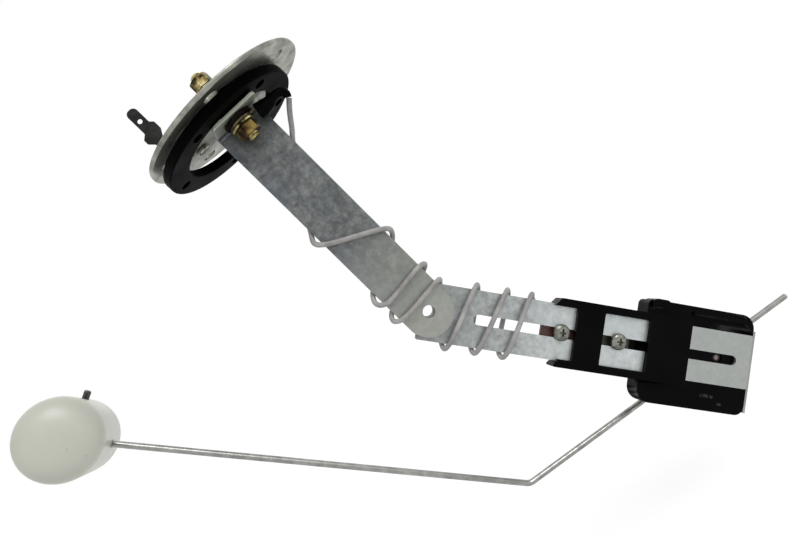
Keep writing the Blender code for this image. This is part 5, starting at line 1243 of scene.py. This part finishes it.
# Hub: pale moulded plastic that turns on the pin. Its boss passes through the cover, and its block holds the
# wire under two small screws.
def pale_plastic(name, dark, light, roughness):
    """Slightly translucent pale plastic with faint clouds and a fine grain."""
    material, tree, shader = begin_finish(name, roughness, 0.0)
    clouds = object_noise(tree, 60.0, 4.0, 0.5)
    grain = object_noise(tree, 380.0, 3.0, 0.5)
    feed(tree, shader, {"Base Color": ramp(tree, clouds, [(0.35, dark), (0.68, light)]),
                        "Roughness": spread(tree, grain, 0.3, 0.7, roughness - 0.05, roughness + 0.12),
                        "Subsurface Weight": 0.06, "Subsurface Radius": (2 * MM, 2 * MM, MM)})
    dented(tree, shader, grain, 0.1, 0.06 * MM)
    return material


ROD_OFFSET = 3.29 * MM
ROD_ANGLE = math.radians(-12.96)
HUB_PLACE = Matrix.Translation(on_lower(PIVOT, 0.0, 0.0))


def rod_point(along):
    """A point of the wire's first leg about the pivot."""
    right, up = polar(1.0, ROD_ANGLE)
    return (ROD_OFFSET * up + along * right, along * up - ROD_OFFSET * right)


HUB_PLASTIC = pale_plastic("hub_nylon", linear(196, 192, 176), linear(216, 212, 198), 0.4)
hub_low = COVER_BACK_Y + GAP + 2.6 * MM
boss_low = head_low + BOX_FLOOR + GAP
half = 11.5 * MM
wall = 3.4 * MM
crown = 6.0 * MM
ridge = wall - ROD_OFFSET
corners = [(-half, -ROD_OFFSET - wall, 1.2 * MM), (half, -ROD_OFFSET - wall, 1.2 * MM),
           (half, ridge, 1.6 * MM), (crown, ridge + 2.5 * MM, 2.0 * MM), (crown * 0.6, crown, 2.5 * MM),
           (-crown * 0.6, crown, 2.5 * MM), (-crown, ridge + 2.5 * MM, 2.0 * MM), (-half, ridge, 1.6 * MM)]
turn = Matrix.Rotation(-ROD_ANGLE, 4, "Y")
hub = piece_from("hub", prism(filleted(corners), hub_low, HUB_BACK_Y), HUB_PLASTIC, turn)
collar_low = COVER_BACK_Y + GAP
boss = turned([(0.0, boss_low), (4.5 * MM, boss_low), (4.5 * MM, collar_low), (7.0 * MM, collar_low),
               (7.0 * MM, hub_low + 0.5 * MM), (0.0, hub_low + 0.5 * MM)], 72, "Y")
wiper_y = BOX_BACK_Y - 2.9 * MM
groove = turned([(3.9 * MM, wiper_y - GAP), (5.5 * MM, wiper_y - GAP), (5.5 * MM, wiper_y + 0.7 * MM),
                 (3.9 * MM, wiper_y + 0.7 * MM)], 72, "Y")
way = disc(1.5 * MM, -23.0 * MM, 23.0 * MM, 32)
bmesh.ops.rotate(way, verts=way.verts, matrix=Matrix.Rotation(math.pi / 2 - ROD_ANGLE, 3, "Y"))
rod_foot = rod_point(0.0)
bmesh.ops.translate(way, verts=way.verts, vec=(rod_foot[0], ROD_Y, rod_foot[1]))
clamp_places = [rod_point(along) for along in (-7.4 * MM, 7.4 * MM)]
cuts = [drill(1.4 * MM, boss_low - MM, HUB_BACK_Y + MM, 36, "Y"), piece_from("groove", groove),
        piece_from("way", way)]
cuts += [drill(1.3 * MM, ROD_Y, HUB_BACK_Y + MM, 24, "Y", place) for place in clamp_places]
shaped(hub, cuts, [piece_from("boss", boss)])
softened(hub, 0.25 * MM, 2, 45.0)
hub.data.transform(HUB_PLACE)
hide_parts("rotor_hub")
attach(hub, "float_arm")
hub_seat = HUB_BACK_Y + GAP
screw_row("rod_clamp_screws", pan_screw(2.2 * MM, 1.6 * MM, 1.0 * MM, hub_seat - (ROD_Y + 1.5 * MM), -1.0),
          clamp_places, hub_seat, HUB_PLACE, ("rod_clamp_screw_1", "rod_clamp_screw_2"), "float_arm")


# Wire: bright drawn steel, bent once by hand round a post, with a sheared tail past the pivot. It goes
# through the float and is bent over inside it, so that the float can't slip off.
def steel_finish(stub_z):
    """Drawn wire: bright, a little spotted, with its bent end darker."""
    material, tree, shader = begin_finish("drawn_steel", 0.24, 1.0)
    spots = object_noise(tree, 240.0, 5.0, 0.6)
    bright = ramp(tree, spots, [(0.34, linear(130, 130, 128)), (0.55, linear(150, 150, 147)),
                                (0.7, linear(164, 164, 161))])
    high_up = along_object(tree, (0.0, 0.0, 1.0), stub_z - 4 * MM, stub_z, 0.85)
    far_left = along_object(tree, (-1.0, 0.0, 0.0), 80 * MM, 90 * MM, 1.0)
    darker_end = maths(tree, "MULTIPLY", high_up, far_left)
    feed(tree, shader, {"Base Color": mixed(tree, darker_end, bright, linear(46, 45, 42)),
                        "Roughness": spread(tree, spots, 0.3, 0.7, 0.4, 0.28)})
    return material


def bent_path(corners, radii, facets=16):
    """Points of a wire through 2-D corners, with an arc of its own radius at each inner corner."""
    path = [corners[0]]
    for before, here, after, radius in zip(corners, corners[1:], corners[2:], radii):
        path += corner_arc(before, here, after, radius, facets)
    return path + [corners[-1]]


def ends_rounded(route, radius):
    """Adds points near both ends and their girths, so that the wire's sheared ends are slightly rounded."""
    first = (route[1] - route[0]).normalized()
    final = (route[-2] - route[-1]).normalized()
    steps = ((0.0, 0.72), (0.1, 0.88), (0.25, 0.97), (0.4, 1.0))
    start = [route[0] + first * radius * along for along, _ in steps]
    end = [route[-1] + final * radius * along for along, _ in reversed(steps)]
    rounding = [girth for _, girth in steps]
    return start + route[1:-1] + end, rounding + [1.0] * (len(route) - 2) + rounding[::-1]


def about_pivot(points):
    """Places points (x, z) about the pivot, in the wire's plane."""
    return [on_lower(PIVOT, 0.0, 0.0) + Vector((x, ROD_Y, z)) for x, z in points]


ROD_RADIUS = 1.2 * MM
LEG_ANGLE = math.radians(126.27)
STUB_ANGLE = math.radians(26.0)
BEND_RADII = (4.0 * MM, 5.0 * MM)
bend = Vector(rod_point(-86.8 * MM))
float_middle = bend + Vector(polar(170.4 * MM, LEG_ANGLE))
stub_end = float_middle + Vector(polar(17.9 * MM, STUB_ANGLE))
corners = [Vector(rod_point(48.9 * MM)), bend, float_middle, stub_end]
rod_route, rod_girths = ends_rounded(about_pivot(bent_path(corners, BEND_RADII)), ROD_RADIUS)
ROD_STEEL = steel_finish(rod_route[-1].z - 4 * MM)
rod = round_wire("rod", rod_route, ROD_RADIUS, ROD_STEEL, 28, rod_girths)
smooth_shaded(rod, 50.0)
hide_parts("float_rod")
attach(rod, "float_arm")


# Float: a hollow barrel blown from off-white plastic, with rounded ends and a faint parting line round its
# middle. The wire goes in through a tight hole.
def float_finish():
    """Off-white plastic: slightly translucent, faintly cloudy, with small specks."""
    material, tree, shader = begin_finish("float_shell", 0.38, 0.0)
    clouds = object_noise(tree, 24.0, 4.0, 0.5)
    base = ramp(tree, clouds, [(0.35, linear(182, 184, 172)), (0.68, linear(197, 199, 187))])
    specks = spread(tree, object_noise(tree, 520.0, 3.0, 0.5), 0.66, 0.74, 0.0, 0.35)
    feed(tree, shader, {"Base Color": mixed(tree, specks, base, linear(150, 150, 136)),
                        "Roughness": spread(tree, clouds, 0.3, 0.7, 0.42, 0.32),
                        "Subsurface Weight": 0.12, "Subsurface Radius": (4 * MM, 4 * MM, 3 * MM)})
    dented(tree, shader, object_noise(tree, 120.0, 2.0, 0.5), 0.08, 0.15 * MM)
    return material


def domed_end(radius, depth, facets=22):
    """Half a section of a barrel's end, from its rim to its pole: round, and flatter in the middle."""
    power = 2.0 / 2.6
    angles = [math.pi / 2 * i / facets for i in range(facets + 1)]
    return [(radius * max(math.cos(a), 0.0) ** power, depth * math.sin(a) ** power) for a in angles]


FLOAT_RADIUS = 13.85 * MM
FLOAT_END = 9.0 * MM
near_rim = 25.4 * MM - FLOAT_END
far_rim = 25.0 * MM - FLOAT_END
ends = domed_end(FLOAT_RADIUS, FLOAT_END)
profile = [(radius, -near_rim - depth) for radius, depth in reversed(ends)]
profile += [(FLOAT_RADIUS, -0.3 * MM), (FLOAT_RADIUS - 0.04 * MM, 0.0), (FLOAT_RADIUS, 0.3 * MM)]
profile += [(radius, far_rim + depth) for radius, depth in ends]
body = turned(profile, 120, "Y")
lean = Matrix.Rotation(math.radians(13.6), 3, "Z") @ Matrix.Rotation(math.radians(-2.6), 3, "X")
bmesh.ops.rotate(body, verts=body.verts, matrix=lean)
centre = float_middle + Vector(polar(0.7 * MM, LEG_ANGLE - math.pi / 2))
bmesh.ops.translate(body, verts=body.verts, vec=(centre.x, ROD_Y, centre.y))
FLOAT_SHELL = float_finish()
swimmer = piece_from("float_barrel", body, FLOAT_SHELL, HUB_PLACE, 50.0)
tunnel = [float_middle - Vector(polar(2 * FLOAT_RADIUS, LEG_ANGLE)), float_middle,
          float_middle + Vector(polar(2 * FLOAT_RADIUS, STUB_ANGLE))]
bore_route = about_pivot(bent_path(tunnel, BEND_RADII[1:], 12))
shaped(swimmer, [round_wire("float_bore", bore_route, 1.55 * MM, FLOAT_SHELL, 24)])
smooth_shaded(swimmer, 35.0)
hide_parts("float")
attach(swimmer, "float_arm")


# Ring, tag, card and finger: small stamped pieces that are right as the model has them. They get their metals
# and board here.
TINNED = mottled_zinc("tinned_brass", linear(72, 64, 50), linear(94, 85, 69), linear(120, 111, 95),
                      0.34, 0.9, 300.0)
BRONZE = brass_finish("spring_bronze", linear(104, 62, 34), linear(150, 96, 56), linear(176, 122, 78), 0.34)
for node, finish in (("lead_ring_terminal", TINNED), ("lead_tag", BRASS), ("resistor_card", BOARD),
                     ("wiper_arm", BRONZE)):
    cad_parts[node].material_slots[0].material = finish
